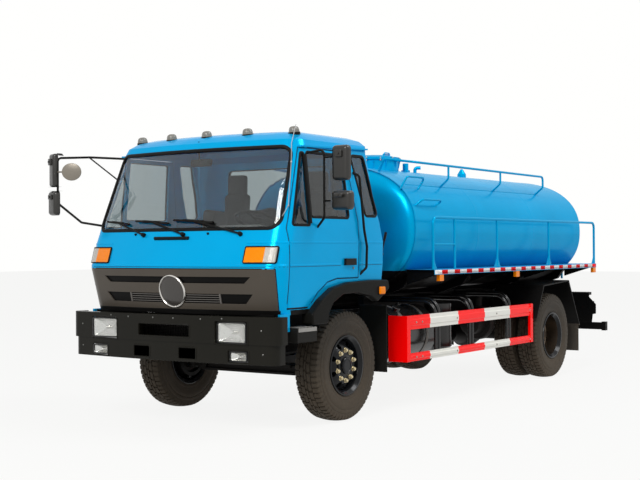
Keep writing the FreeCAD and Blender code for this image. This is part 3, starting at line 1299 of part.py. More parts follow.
def mirror_right(skin_form):
    """Passenger's mirror arm ahead of the cab corner, with a stay and two glasses."""
    y, x = at(MIRROR_RIGHT_AT), MIRROR_RIGHT_X
    foot, head, brace = PILLAR_FEET
    hook = [vec(foot[0], at(foot[1]), foot[2]), vec(-1250.0, at(-1130.0), 1890.0), vec(-x, y, 2080.0)]
    hook += [vec(-x, y, 2520.0), vec(-1330.0, at(-930.0), 2540.0), vec(head[0], at(head[1]), head[2])]
    pieces = [bent_rod(hook, MIRROR_BAR, 36.0)]
    pieces.append(rod(vec(-1340.0, at(-936.0), 2540.0), vec(brace[0], at(brace[1]), brace[2]), 7.0))
    pieces.append(mirror_head(-1490.0, y, 2240.0, 2565.0, 90.0, 70.0))
    pieces.append(mirror_head(-1485.0, y, 1962.0, 2200.0, 90.0, 80.0))
    pieces.append(rod(vec(-1300.0, y - 20.0, 2400.0), vec(-1300.0, y + 30.0, 2400.0), 110.0))
    pieces.append(rod(vec(-1480.0, y, 2400.0), vec(-1300.0, y, 2400.0), 9.0))
    return max(join(pieces).cut(skin_form).Solids, key=lambda item: item.Volume)


def seats():
    """Driver's seat and double passenger seat, each a cushion and a back on a plinth."""
    solids = []
    top = CUSHION_Z + CUSHION_THICK
    for x0, x1 in SEATS_X:
        plinth = box(x0 + 60.0, x1 - 60.0, at(-210.0), at(200.0), FLOOR_TOP + SEAT_GAP, CUSHION_Z)
        cushion = box(x0, x1, at(-270.0), at(250.0), CUSHION_Z, top)
        back = plate_x(placed([(150.0, top), (260.0, top), (340.0, 2180.0), (240.0, 2180.0)]), x0 + 20.0,
            x1 - 20.0)
        solids.append(join([plinth, cushion, back]))
    return group(solids)


def steer_line():
    """Foot and upper end of the steering column."""
    return vec(STEER_X, at(STEER_FOOT[0]), STEER_FOOT[1]), vec(STEER_X, at(STEER_HUB[0]), STEER_HUB[1])


def dashboard():
    """Dash with an instrument hood, and the steering column down to the floor."""
    outline = [(-1200.0, 1480.0), (-860.0, 1420.0), (-800.0, 1560.0), (-800.0, 1720.0), (-850.0, 1770.0)]
    outline += [(-1200.0, 1775.0)]
    body = plate_x(placed(outline), -1150.0, 1150.0)
    hood_outline = [(-1000.0, 1760.0), (-830.0, 1740.0), (-815.0, 1830.0), (-960.0, 1840.0)]
    hood = plate_x(placed(hood_outline), STEER_X - 230.0, STEER_X + 230.0)
    column = rod(*steer_line(), 32.0)
    cavity = cab_form(CAB_WALL + SEAT_GAP, FLOOR_THICK + SEAT_GAP).cut(wheel_well(FLOOR_THICK + SEAT_GAP))
    shroud = box(STEER_X - 60.0, STEER_X + 60.0, at(-840.0), at(-700.0), 1600.0, 1700.0)
    cheek = box(DASH_DOOR_X, 1200.0, at(DOOR_FRONT - 12.0), at(-600.0), 1300.0, 1900.0)
    return join([body, hood, column, shroud]).common(cavity).cut([cheek, mirrored(cheek)])


def steering_wheel():
    """Steering wheel with three spokes, tilted with its column."""
    foot, hub_end = steer_line()
    along = hub_end.sub(foot).normalize()
    start = hub_end.add(vec(*along).multiply(SHAFT_GAP))
    hub = rod(start, start.add(vec(*along).multiply(60.0)), 46.0)
    centre = start.add(vec(*along).multiply(44.0))
    rim = Part.makeTorus(STEER_RADIUS, 15.0, centre, along)
    side = vec(1, 0, 0)
    up = along.cross(side)
    spokes = []
    for angle in (90.0, 210.0, 330.0):
        turn = math.radians(angle)
        way = vec(*side).multiply(math.cos(turn)).add(vec(*up).multiply(-math.sin(turn)))
        spokes.append(rod(centre, centre.add(way.multiply(STEER_RADIUS)), 11.0))
    return join([hub, rim] + spokes)


def grab_bars(skin_form):
    """Bent entry bar behind each door, standing off the cab's side on two feet."""
    path = [vec(1060.0, at(100.0), 2350.0), vec(1165.0, at(112.0), 2310.0), vec(1188.0, at(155.0), 1800.0)]
    path += [vec(1190.0, at(200.0), 1640.0), vec(1190.0, at(188.0), 1440.0), vec(1110.0, at(132.0), 1345.0)]
    bar = bent_rod(path, 12.0, 30.0).cut(skin_form)
    return pair(max(bar.Solids, key=lambda item: item.Volume))


def door_with_handle(door):
    """Door leaf with its pull handle."""
    handle = box(1148.0, 1176.0, at(-138.0), at(41.0), 1467.0, 1530.0)
    return join([door, handle])


def build():
    """All nodes by name."""
    nodes = wheels()
    nodes["front_axle"] = front_axle()
    left = knuckle()
    nodes["knuckle_left"] = left
    nodes["knuckle_right"] = mirrored(left)
    nodes["tie_rod"] = tie_rod()
    nodes["leaf_springs"] = leaf_springs()
    nodes["rear_axle"] = rear_axle()
    nodes["driveshaft"] = driveshaft()
    nodes["engine_block"] = engine_block()
    nodes["chassis_rails"] = chassis_rails()
    nodes["crossmembers"] = crossmembers()
    nodes["bumper"] = bumper()
    nodes["front_lamps"] = front_lamps()

    nodes["tank"] = tank()
    barrel_solid = tank(SEAT_GAP)
    nodes["tank_subframe"] = tank_subframe(barrel_solid)
    nodes["walkways"] = walkways(barrel_solid)
    nodes["side_railings"] = side_railings()
    nodes["hatch_collar"] = hatch_collar(barrel_solid)
    nodes["hatch_lid"] = hatch_lid()
    nodes["top_vents"] = top_vents(barrel_solid)
    nodes["top_rails"] = top_rails(barrel_solid)
    nodes["rear_ladder"] = rear_ladder(barrel_solid)
    nodes["outlet_pipe"] = outlet_pipe(barrel_solid)

    nodes["side_guards"] = side_guards()
    nodes["guard_pipes"] = guard_pipes()
    nodes["fuel_tank"] = fuel_tank()
    nodes["air_canister"] = air_canister()
    nodes["battery_box"] = battery_box()
    nodes["air_tank"] = air_tank()
    nodes["steps"] = steps()
    nodes["rear_mudguards"] = rear_mudguards()
    nodes["underrun_bar"] = underrun_bar()
    nodes["tail_lamps"] = tail_lamps()

    shell, front, panes, door, door_panes = cab_parts()
    nodes["cab_shell"] = cab_shell(shell)
    nodes["grille_panel"] = grille_slots(front)
    nodes["cab_glass"] = panes
    skin_form = cab_form(0.0, 0.0)
    nodes["cab_fenders"] = pair(cab_fenders(skin_form))
    nodes["cab_lamps"] = cab_lamps(skin_form)
    nodes["wipers"] = wipers(skin_form)
    nodes["mirror_right"] = mirror_right(skin_form)
    nodes["grab_bars"] = grab_bars(skin_form)
    nodes["seats"] = seats()
    nodes["dashboard"] = dashboard()
    nodes["steering_wheel"] = steering_wheel()
    nodes["door_left"] = door_with_handle(door)
    nodes["door_right"] = mirrored(nodes["door_left"])
    nodes["door_left_glass"] = door_panes
    nodes["door_right_glass"] = group([mirrored(door_panes)])
    nodes["mirror_left"] = mirror_left(skin_form)
    return nodes


os.makedirs("parts", exist_ok=True)
for name, shape in build().items():
    shape.exportStep("parts/" + name + ".step")
    low = shape.BoundBox
    print(name, shape.isValid(), len(shape.Solids), round(shape.Volume / 1e6, 1),
          [round(value) for value in (low.XMin, low.XMax, low.YMin, low.YMax, low.ZMin, low.ZMax)])
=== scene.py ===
"""Looks of the tanker truck: finishes, modelled details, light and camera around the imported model.

The front faces -Y, the driver's side is +X and the ground is Z = 0. Lengths are in metres.
"""

from __future__ import annotations

import json
import logging
import math
from dataclasses import dataclass
from enum import Enum
from functools import cache
from typing import Callable, ClassVar, Iterable, NamedTuple, Sequence

import bmesh
import bpy
from mathutils import Matrix, Vector
from mathutils.bvhtree import BVHTree

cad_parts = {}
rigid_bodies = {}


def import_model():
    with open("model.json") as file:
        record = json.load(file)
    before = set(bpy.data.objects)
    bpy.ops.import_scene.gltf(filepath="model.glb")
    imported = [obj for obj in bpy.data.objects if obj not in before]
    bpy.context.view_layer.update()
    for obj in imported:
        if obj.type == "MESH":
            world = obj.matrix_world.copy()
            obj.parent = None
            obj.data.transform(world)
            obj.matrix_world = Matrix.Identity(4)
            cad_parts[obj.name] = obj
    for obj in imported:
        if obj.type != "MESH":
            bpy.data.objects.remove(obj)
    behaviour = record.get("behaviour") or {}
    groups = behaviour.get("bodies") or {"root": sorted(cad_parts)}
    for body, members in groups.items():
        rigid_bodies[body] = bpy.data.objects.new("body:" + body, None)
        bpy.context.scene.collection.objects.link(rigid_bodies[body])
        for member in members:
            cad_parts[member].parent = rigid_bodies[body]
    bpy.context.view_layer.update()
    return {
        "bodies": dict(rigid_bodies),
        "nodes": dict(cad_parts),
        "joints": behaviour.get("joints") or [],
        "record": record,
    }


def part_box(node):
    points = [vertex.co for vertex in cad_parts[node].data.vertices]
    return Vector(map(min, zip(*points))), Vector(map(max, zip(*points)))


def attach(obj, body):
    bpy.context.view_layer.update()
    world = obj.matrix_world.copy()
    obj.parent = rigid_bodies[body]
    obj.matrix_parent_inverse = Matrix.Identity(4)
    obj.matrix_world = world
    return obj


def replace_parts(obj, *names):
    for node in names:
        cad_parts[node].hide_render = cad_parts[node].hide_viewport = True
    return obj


LOG = logging.getLogger("tanker")

FRONT_AXLE_Y = -2.65
REAR_AXLE_Y = 1.85
AXLE_Z = 0.523
Colour = tuple[float, float, float]
Point = tuple[float, float, float]
Outline = Sequence[tuple[float, float]]
Mesh = bmesh.types.BMesh
Vert = bmesh.types.BMVert
Edge = bmesh.types.BMEdge
Socket = bpy.types.NodeSocket
Node = bpy.types.Node
Tree = bpy.types.NodeTree
SIGNS = (1.0, -1.0)
BELT_Z = 1.478
SWAGE_Z = 1.68
NO_STEPS = 9.0


def at(distance: float) -> float:
    """Y of a point at a distance behind the front axle."""
    return FRONT_AXLE_Y + distance


class Side(Enum):
    """The truck's two sides, by the sign of X."""

    LEFT = 1.0
    RIGHT = -1.0

    @property
    def word(self) -> str:
        """Lower-case name of the side."""
        return self.name.lower()


class Body(Enum):
    """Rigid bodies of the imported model."""

    CHASSIS = "chassis"
    CAB = "cab"
    DOOR_LEFT = "door_left"
    DOOR_RIGHT = "door_right"
    STEERING_WHEEL = "steering_wheel"
    HATCH_LID = "hatch_lid"
    KNUCKLE_LEFT = "knuckle_left"
    KNUCKLE_RIGHT = "knuckle_right"
    TIE_ROD = "tie_rod"
    FRONT_LEFT_WHEEL = "front_left_wheel"
    FRONT_RIGHT_WHEEL = "front_right_wheel"
    REAR_LEFT_WHEELS = "rear_left_wheels"
    REAR_RIGHT_WHEELS = "rear_right_wheels"


class Pattern(Enum):
    """Relief patterns that a finish may carry."""

    NONE = "none"
    RIBS = "ribs"
    CHEQUER = "chequer"
    CELLS = "cells"


# Shader groups


def set_inputs(node: Node, values: dict[str, object]) -> None:
    """Sets a node's inputs by their names."""
    for name, value in values.items():
        node.inputs[name].default_value = value


def new_material(name: str) -> tuple[bpy.types.Material, Node]:
    """New material with its own Principled shader."""
    made = bpy.data.materials.new(name)
    made.use_nodes = True
    return made, made.node_tree.nodes["Principled BSDF"]


class GroupBuilder:
    """A shader node group while it is built."""

    def __init__(self, name: str, inputs: dict[str, object], outputs: Sequence[str]) -> None:
        """Starts a group.

        Args:
            name: The group's name.
            inputs: Default of each input by its name: four numbers for a colour, one for a value.
            outputs: Names of the outputs.
        """
        self.tree = bpy.data.node_groups.new(name, "ShaderNodeTree")
        for label, default in inputs.items():
            socket = self.tree.interface.new_socket(label, in_out="INPUT", socket_type=self.kind(label))
            socket.default_value = default
        for label in outputs:
            self.tree.interface.new_socket(label, in_out="OUTPUT", socket_type=self.kind(label))
        self.start = self.tree.nodes.new("NodeGroupInput")
        self.end = self.tree.nodes.new("NodeGroupOutput")

    def kind(self, label: str) -> str:
        """Socket type that goes with a name."""
        return "NodeSocketColor" if label.endswith("Colour") else "NodeSocketFloat"

    def node(self, kind: str, **values: object) -> Node:
        """Adds a node and sets its attributes.

        Args:
            kind: The node's type name.
            values: Attributes to set on it.

        Returns:
            The new node.
        """
        made = self.tree.nodes.new(kind)
        for key, value in values.items():
            setattr(made, key, value)
        return made

    def link(self, source: Socket, target: Socket) -> None:
        """Joins two sockets."""
        self.tree.links.new(source, target)

    def feed(self, sockets: Iterable[Socket], values: Iterable[Socket | float]) -> None:
        """Links each socket to a socket, or sets it to a number."""
        for socket, value in zip(sockets, values):
            if isinstance(value, Socket):
                self.link(value, socket)
            else:
                socket.default_value = value

    def maths(self, operation: str, *values: Socket | float, clamp: bool = False) -> Socket:
        """Result of a maths operation on sockets and numbers, kept between 0 and 1 where it clamps."""
        made = self.node("ShaderNodeMath", operation=operation, use_clamp=clamp)
        self.feed(made.inputs, values)
        return made.outputs[0]

    def mix(self, kind: str, *values: Socket | float) -> Socket:
        """Blend of two values.

        Args:
            kind: FLOAT or RGBA.
            values: Share of the second value, then the first and the second.

        Returns:
            The blend's socket.
        """
        made = self.node("ShaderNodeMix", data_type=kind)
        first, result = (2, 0) if kind == "FLOAT" else (6, 2)
        self.feed((made.inputs[0], *made.inputs[first:first + 2]), values)
        return made.outputs[result]

    def axis(self, name: str) -> Socket:
        """One of the object coordinates."""
        split = self.node("ShaderNodeSeparateXYZ")
        self.link(self.node("ShaderNodeTexCoord").outputs["Object"], split.inputs[0])
        return split.outputs[name]

    def noise(self, scale: float, detail: float, roughness: float = 0.55) -> Socket:
        """Noise on object coordinates.

        Args:
            scale: Scale of the pattern, in waves a metre.
            detail: Levels of detail.
            roughness: Share of the fine levels.

        Returns:
            The noise's socket.
        """
        made = self.node("ShaderNodeTexNoise")
        set_inputs(made, {"Scale": scale, "Detail": detail, "Roughness": roughness})
        self.link(self.node("ShaderNodeTexCoord").outputs["Object"], made.inputs["Vector"])
        return made.outputs["Fac"]

    def wave(self, **weights: float) -> Socket:
        """Sine of a sum of object coordinates, each with its weight in radians a metre."""
        total: Socket | float = 0.0
        for name, weight in weights.items():
            total = self.maths("MULTIPLY_ADD", self.axis(name), weight, total)
        return self.maths("SINE", total)

    def ramp(self, source: Socket, low: float, high: float) -> Socket:
        """Value stretched so that low becomes 0 and high becomes 1."""
        made = self.node("ShaderNodeMapRange", clamp=True)
        set_inputs(made, {"From Min": low, "From Max": high})
        self.link(source, made.inputs["Value"])
        return made.outputs["Result"]


class SharedGroups:
    """The groups for road dust, surface grain and raised patterns, each built once."""

    @staticmethod
    @cache
    def dust() -> Tree:
        """Patchy tone and road dust that gets denser towards the ground.

        Returns:
            The group, with colour and roughness outputs.
        """
        inputs = {"Colour": (0.5, 0.5, 0.5, 1), "Roughness": 0.4, "Dust Colour": (0.25, 0.22, 0.19, 1), "Dust": 0.2,
                  "Dust Height": 1.0, "Tone": 0.1}
        group = GroupBuilder("road_dust", inputs, ("Colour", "Roughness"))
        ins, outs = group.start.outputs, group.end.inputs
        broad, fine = group.noise(1.6, 4.0), group.noise(34.0, 6.0, 0.7)
        low = group.maths("SUBTRACT", 1.0, group.maths("DIVIDE", group.axis("Z"), ins["Dust Height"]), clamp=True)
        patches = group.maths("MULTIPLY", group.ramp(fine, 0.3, 0.75), group.ramp(broad, 0.2, 0.8))
        amount = group.maths("MULTIPLY", group.maths("ADD", patches, low), ins["Dust"], clamp=True)
        swing = group.maths("MULTIPLY_ADD", group.ramp(broad, 0.25, 0.75), 2.0, -1.0)
        level = group.node("ShaderNodeHueSaturation")
        group.link(group.maths("MULTIPLY_ADD", swing, ins["Tone"], 1.0), level.inputs["Value"])
        group.link(ins["Colour"], level.inputs["Color"])
        group.link(group.mix("RGBA", amount, level.outputs["Color"], ins["Dust Colour"]), outs["Colour"])
        group.link(group.mix("FLOAT", amount, ins["Roughness"], 0.85), outs["Roughness"])
        return group.tree

    @staticmethod
    @cache
    def grain() -> Tree:
        """Fine height pattern for cast, moulded and sprayed surfaces.

        Returns:
            The group, with one height output.
        """
        group = GroupBuilder("surface_grain", {"Coarse": 0.3}, ("Height",))
        height = group.mix("FLOAT", group.start.outputs["Coarse"], group.noise(420.0, 3.0), group.noise(60.0, 4.0))
        group.link(height, group.end.inputs["Height"])
        return group.tree

    @staticmethod
    @cache
    def relief(pattern: Pattern) -> Tree:
        """Raised pattern: lens ribs, lozenges of tread plate or reflecting cells.

        Args:
            pattern: Which one.

        Returns:
            The group, with one height output.
        """
        group = GroupBuilder("relief_" + pattern.value, {}, ("Height",))
        if pattern is Pattern.RIBS:
            height = group.ramp(group.wave(X=520.0), -0.9, 0.9)
        elif pattern is Pattern.CHEQUER:
            first = group.maths("MULTIPLY", group.wave(X=150.0, Y=150.0), group.wave(X=50.0, Y=-50.0))
            other = group.maths("MULTIPLY", group.wave(X=150.0, Y=-150.0), group.wave(X=50.0, Y=50.0))
            height = group.ramp(group.maths("MAXIMUM", first, other), 0.5, 0.75)
        else:
            across = group.maths("MULTIPLY", group.wave(Y=700.0, Z=700.0), group.wave(Y=700.0, Z=-700.0))
            height = group.ramp(across, -0.5, 0.5)
        group.link(height, group.end.inputs["Height"])
        return group.tree


# Finishes


@dataclass(frozen=True)
class Finish:
    """A surface finish: base colour, gloss, dust and grain."""

    name: str
    colour: Colour
    slot: str
    roughness: float = 0.4
    metallic: float = 0.0
    coat: float = 0.0
    specular: float = 0.3
    glint: Colour = (1.0, 1.0, 1.0)
    dust: float = 0.0
    dust_height: float = 1.2
    dust_colour: Colour = (0.21, 0.18, 0.155)
    tone: float = 0.06
    grain: float = 0.0
    coarse: float = 0.3
    coat_roughness: float = 0.06
    glow: float = 0.0
    pattern: Pattern = Pattern.NONE

    def material(self) -> bpy.types.Material:
        """The finish's material, built on first use."""
        found = bpy.data.materials.get(self.name)
        if found:
            return found
        made, shader = new_material(self.name)
        tree = made.node_tree
        set_inputs(shader, {"Base Color": (*self.colour, 1), "Metallic": self.metallic, "Coat Weight": self.coat,
                            "Coat Roughness": self.coat_roughness, "Specular IOR Level": self.specular,
                            "Specular Tint": (*self.glint, 1)})
        if self.glow:
            set_inputs(shader, {"Emission Color": (*self.colour, 1), "Emission Strength": self.glow})
        dust = self.group(tree, SharedGroups.dust(), {
            "Colour": (*self.colour, 1), "Roughness": self.roughness, "Dust": self.dust, "Tone": self.tone,
            "Dust Height": self.dust_height, "Dust Colour": (*self.dust_colour, 1)})
        tree.links.new(dust.outputs["Colour"], shader.inputs["Base Color"])
        tree.links.new(dust.outputs["Roughness"], shader.inputs["Roughness"])
        last: Socket | None = None
        if self.grain:
            grain = self.group(tree, SharedGroups.grain(), {"Coarse": self.coarse})
            last = self.bump(tree, grain, self.grain, last)
        if self.pattern is not Pattern.NONE:
            last = self.bump(tree, self.group(tree, SharedGroups.relief(self.pattern), {}), 0.5, last)
        if last:
            tree.links.new(last, shader.inputs["Normal"])
        return made

    def group(self, tree: Tree, shared: Tree, values: dict[str, object]) -> Node:
        """Adds a shared group with its inputs set."""
        made = tree.nodes.new("ShaderNodeGroup")
        made.node_tree = shared
        set_inputs(made, values)
        return made

    def bump(self, tree: Tree, source: Node, strength: float, below: Socket | None) -> Socket:
        """Adds a bump from a height group.

        Args:
            tree: The material's nodes.
            source: The group node with a Height output.
            strength: The bump's strength.
            below: Normal that it is laid over, if any.

        Returns:
            The new normal's socket.
        """
        made = tree.nodes.new("ShaderNodeBump")
        set_inputs(made, {"Strength": strength, "Distance": 0.002})
        tree.links.new(source.outputs["Height"], made.inputs["Height"])
        if below:
            tree.links.new(below, made.inputs["Normal"])
        return made.outputs["Normal"]


@dataclass(frozen=True)
class Glass:
    """Clear or tinted glass."""

    name: str
    colour: Colour
    slot: str
    roughness: float = 0.02
    index: float = 1.45

    def material(self) -> bpy.types.Material:
        """The glass material, built on first use."""
        found = bpy.data.materials.get(self.name)
        if found:
            return found
        made, shader = new_material(self.name)
        set_inputs(shader, {"Base Color": (*self.colour, 1), "Roughness": self.roughness, "IOR": self.index,
                            "Transmission Weight": 1.0})
        return made


CAB_BLUE = Finish("cab_blue_paint", (0.0003, 0.39, 0.76), "cab_blue", 0.2, metallic=0.25, coat=0.05, specular=0.08,
                  glint=(0.0, 0.6, 1.0), dust=0.003, tone=0.04, grain=0.03)
TANK_BLUE = Finish("tank_blue_paint", (0.0003, 0.39, 0.72), "tank_blue", 0.26, metallic=0.28, coat=0.03, specular=0.03,
                   glint=(0.0, 0.7, 1.0), dust=0.002, tone=0.07, grain=0.05)
RAIL_BLUE = Finish("rail_blue_paint", (0.0003, 0.36, 0.66), "rail_blue", 0.26, metallic=0.25, coat=0.03,
                   specular=0.05, glint=(0.0, 0.7, 1.0), dust=0.003)
CHASSIS_BLACK = Finish("chassis_black_paint", (0.004, 0.004, 0.004), "chassis_black", 0.4, specular=0.06, dust=0.02,
                       grain=0.2)
CAST_BLACK = Finish("cast_black", (0.006, 0.0055, 0.005), "cast_parts", 0.55, specular=0.12, dust=0.05, grain=0.6)
SPRING_BLACK = Finish("spring_steel", (0.008, 0.008, 0.007), "spring_steel", 0.5, specular=0.12, dust=0.06, grain=0.3)
ENGINE_GREY = Finish("engine_casting", (0.014, 0.014, 0.013), "engine_grey", 0.6, specular=0.12, dust=0.06, grain=0.8)
BUMPER_DARK = Finish("bumper_enamel", (0.009, 0.0085, 0.006), "bumper_dark", 0.26, specular=0.12, dust=0.015,
                     grain=0.08)
DRUM_BLACK = Finish("drum_enamel", (0.006, 0.006, 0.006), "drum_black", 0.2, specular=0.45, dust=0.03)
STEP_BLACK = Finish("step_paint", (0.009, 0.009, 0.008), "step_black", 0.45, specular=0.08, dust=0.04, grain=0.3)
# The glow on the guards' red and white paint is painted light: it stands for the light that their reflecting film sends
# back.
GUARD_RED = Finish("guard_red_paint", (0.93, 0.001, 0.001), "guard_red", 0.3, specular=0.4, glint=(1.0, 0.03, 0.03),
                   glow=0.22)
GUARD_WHITE = Finish("guard_white_paint", (0.80, 0.79, 0.72), "guard_red", 0.3, dust=0.02, glow=0.1)
MUD_BLACK = Finish("mudguard_paint", (0.006, 0.006, 0.006), "mudguard_black", 0.4, specular=0.06, dust=0.02, grain=0.2)
FENDER_GREY = Finish("fender_plastic", (0.007, 0.007, 0.006), "fender_grey", 0.34, specular=0.05, dust=0.01,
                     grain=0.3)
TAUPE = Finish("grille_taupe_plastic", (0.072, 0.060, 0.047), "grille_taupe", 0.34, specular=0.25, dust=0.02,
               grain=0.12)
TRIM_BLACK = Finish("trim_plastic", (0.006, 0.006, 0.0055), "trim_black", 0.4, specular=0.1, dust=0.015, grain=0.3)
SEAL_BLACK = Finish("seal_rubber", (0.004, 0.004, 0.004), "trim_black", 0.5, specular=0.12)
TYRE_RUBBER = Finish("tyre_rubber", (0.020, 0.0165, 0.012), "tyre", 0.62, specular=0.22, dust=0.34, dust_height=0.9,
                     dust_colour=(0.17, 0.13, 0.09), grain=0.5, coarse=0.5)
RIM_BLACK = Finish("rim_black_paint", (0.003, 0.004, 0.006), "rim_black", 0.18, specular=0.2, dust=0.02)
RIM_BROWN = Finish("rim_brown_paint", (0.13, 0.10, 0.075), "rim_brown", 0.28, metallic=0.85, dust=0.06)
NUT_ZINC = Finish("zinc_nut", (0.70, 0.60, 0.38), "rim_black", 0.34, metallic=0.6, specular=0.5, dust=0.06)
PIPE_STEEL = Finish("pipe_steel", (0.35, 0.35, 0.35), "pipe_steel", 0.35, metallic=0.9, dust=0.1)
LAMP_AMBER = Finish("amber_lens", (0.88, 0.22, 0.001), "lamp_amber", 0.2, specular=0.4, glint=(1.0, 0.4, 0.05),
                    glow=0.10,
                    pattern=Pattern.RIBS)
LAMP_RED = Finish("red_lens", (0.55, 0.01, 0.01), "lamp_red", 0.16, coat=0.4, pattern=Pattern.RIBS)
LAMP_SMOKE = Finish("smoked_lens", (0.045, 0.040, 0.036), "lamp_amber", 0.18, specular=0.5)
SEAT_CLOTH = Finish("seat_cloth", (0.030, 0.030, 0.032), "seat_fabric", 0.9, tone=0.1, grain=0.6, coarse=0.1)
DASH_GREY = Finish("dash_plastic", (0.15, 0.15, 0.145), "dash_grey", 0.6, grain=0.4)
SCREEN_GLASS = Glass("screen_glass", (0.78, 0.84, 0.85), "glass")
SIDE_GLASS = Glass("side_glass", (0.30, 0.34, 0.35), "glass")
LENS_GLASS = Glass("lamp_glass", (0.97, 0.98, 1.0), "lamp_clear", 0.05)
MIRROR_SILVER = Finish("mirror_silver", (0.8, 0.82, 0.84), "trim_black", 0.03, metallic=1.0, tone=0.0)
WALK_PLATE = Finish("chequer_plate", (0.002, 0.30, 0.62), "tank_blue", 0.4, specular=0.15, dust=0.12,
                    pattern=Pattern.CHEQUER)
# The glow on the tape is painted light: it stands for the light that the reflecting tape sends back.
TAPE_RED = Finish("tape_red", (0.82, 0.0, 0.004), "guard_red", 0.4, specular=0.05, glow=0.22, pattern=Pattern.CELLS)
TAPE_WHITE = Finish("tape_white", (0.9, 0.9, 0.9), "guard_red", 0.35, specular=0.1, glow=0.22, pattern=Pattern.CELLS)
STRAP_STEEL = Finish("strap_steel", (0.16, 0.15, 0.14), "drum_black", 0.45, metallic=0.6, dust=0.25)
FLAP_RUBBER = Finish("flap_rubber", (0.05, 0.043, 0.034), "mudguard_black", 0.8, specular=0.15, dust=0.3, grain=0.5,
                     coarse=0.6)
ALLOY = Finish("tread_alloy", (0.42, 0.41, 0.39), "step_black", 0.45, metallic=0.5, dust=0.2)
LAMP_SHELL = Finish("lamp_shell", (0.02, 0.02, 0.02), "lamp_clear", 0.4, grain=0.1)
REFLECTOR = Finish("lamp_reflector", (0.66, 0.65, 0.60), "lamp_clear", 0.16, metallic=0.9, tone=0.02,
                   pattern=Pattern.RIBS)
LAMP_WHITE = Finish("clear_lens", (0.48, 0.45, 0.40), "lamp_amber", 0.16, coat=0.4, pattern=Pattern.RIBS)
BOLT_ZINC = Finish("bolt_zinc", (0.42, 0.40, 0.36), "pipe_steel", 0.4, metallic=0.8, dust=0.15)
BOLT_BRIGHT = Finish("bolt_bright", (0.2, 0.2, 0.19), "pipe_steel", 0.35, metallic=0.9, dust=0.05)
PLATE_BLANK = Finish("blank_plate", (0.35, 0.36, 0.38), "bumper_dark", 0.4, coat=0.3, dust=0.1)
BAR_METAL = Finish("grille_bar", (0.14, 0.13, 0.12), "grille_taupe", 0.3, metallic=0.5, dust=0.04)
BRIGHT_TRIM = Finish("bright_trim", (0.62, 0.60, 0.57), "grille_taupe", 0.12, metallic=1.0, tone=0.02, dust=0.02)
MIRROR_SHELL = Finish("mirror_shell", (0.016, 0.015, 0.013), "trim_black", 0.28, specular=0.5, dust=0.03, grain=0.1)
MIRROR_BACK = Finish("mirror_back", (0.24, 0.215, 0.18), "trim_black", 0.35, metallic=0.3, dust=0.05)
DOME_GREY = Finish("dome_lens", (0.20, 0.19, 0.165), "lamp_amber", 0.2, specular=0.5, pattern=Pattern.RIBS)
AnyFinish = Finish | Glass


# Pieces


def new_object(name: str, data: bpy.types.ID) -> bpy.types.Object:
    """New object in the scene."""
    made = bpy.data.objects.new(name, data)
    bpy.context.scene.collection.objects.link(made)
    return made


class Model:
    """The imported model: its nodes and the body that each rides on."""

    def __init__(self, frame: dict) -> None:
        """Reads the record.
        """
        self.nodes: dict[str, bpy.types.Object] = frame["nodes"]
        bodies = frame["record"]["behaviour"]["bodies"]
        self.body_of = {node: Body(body) for body, nodes in bodies.items() for node in nodes}


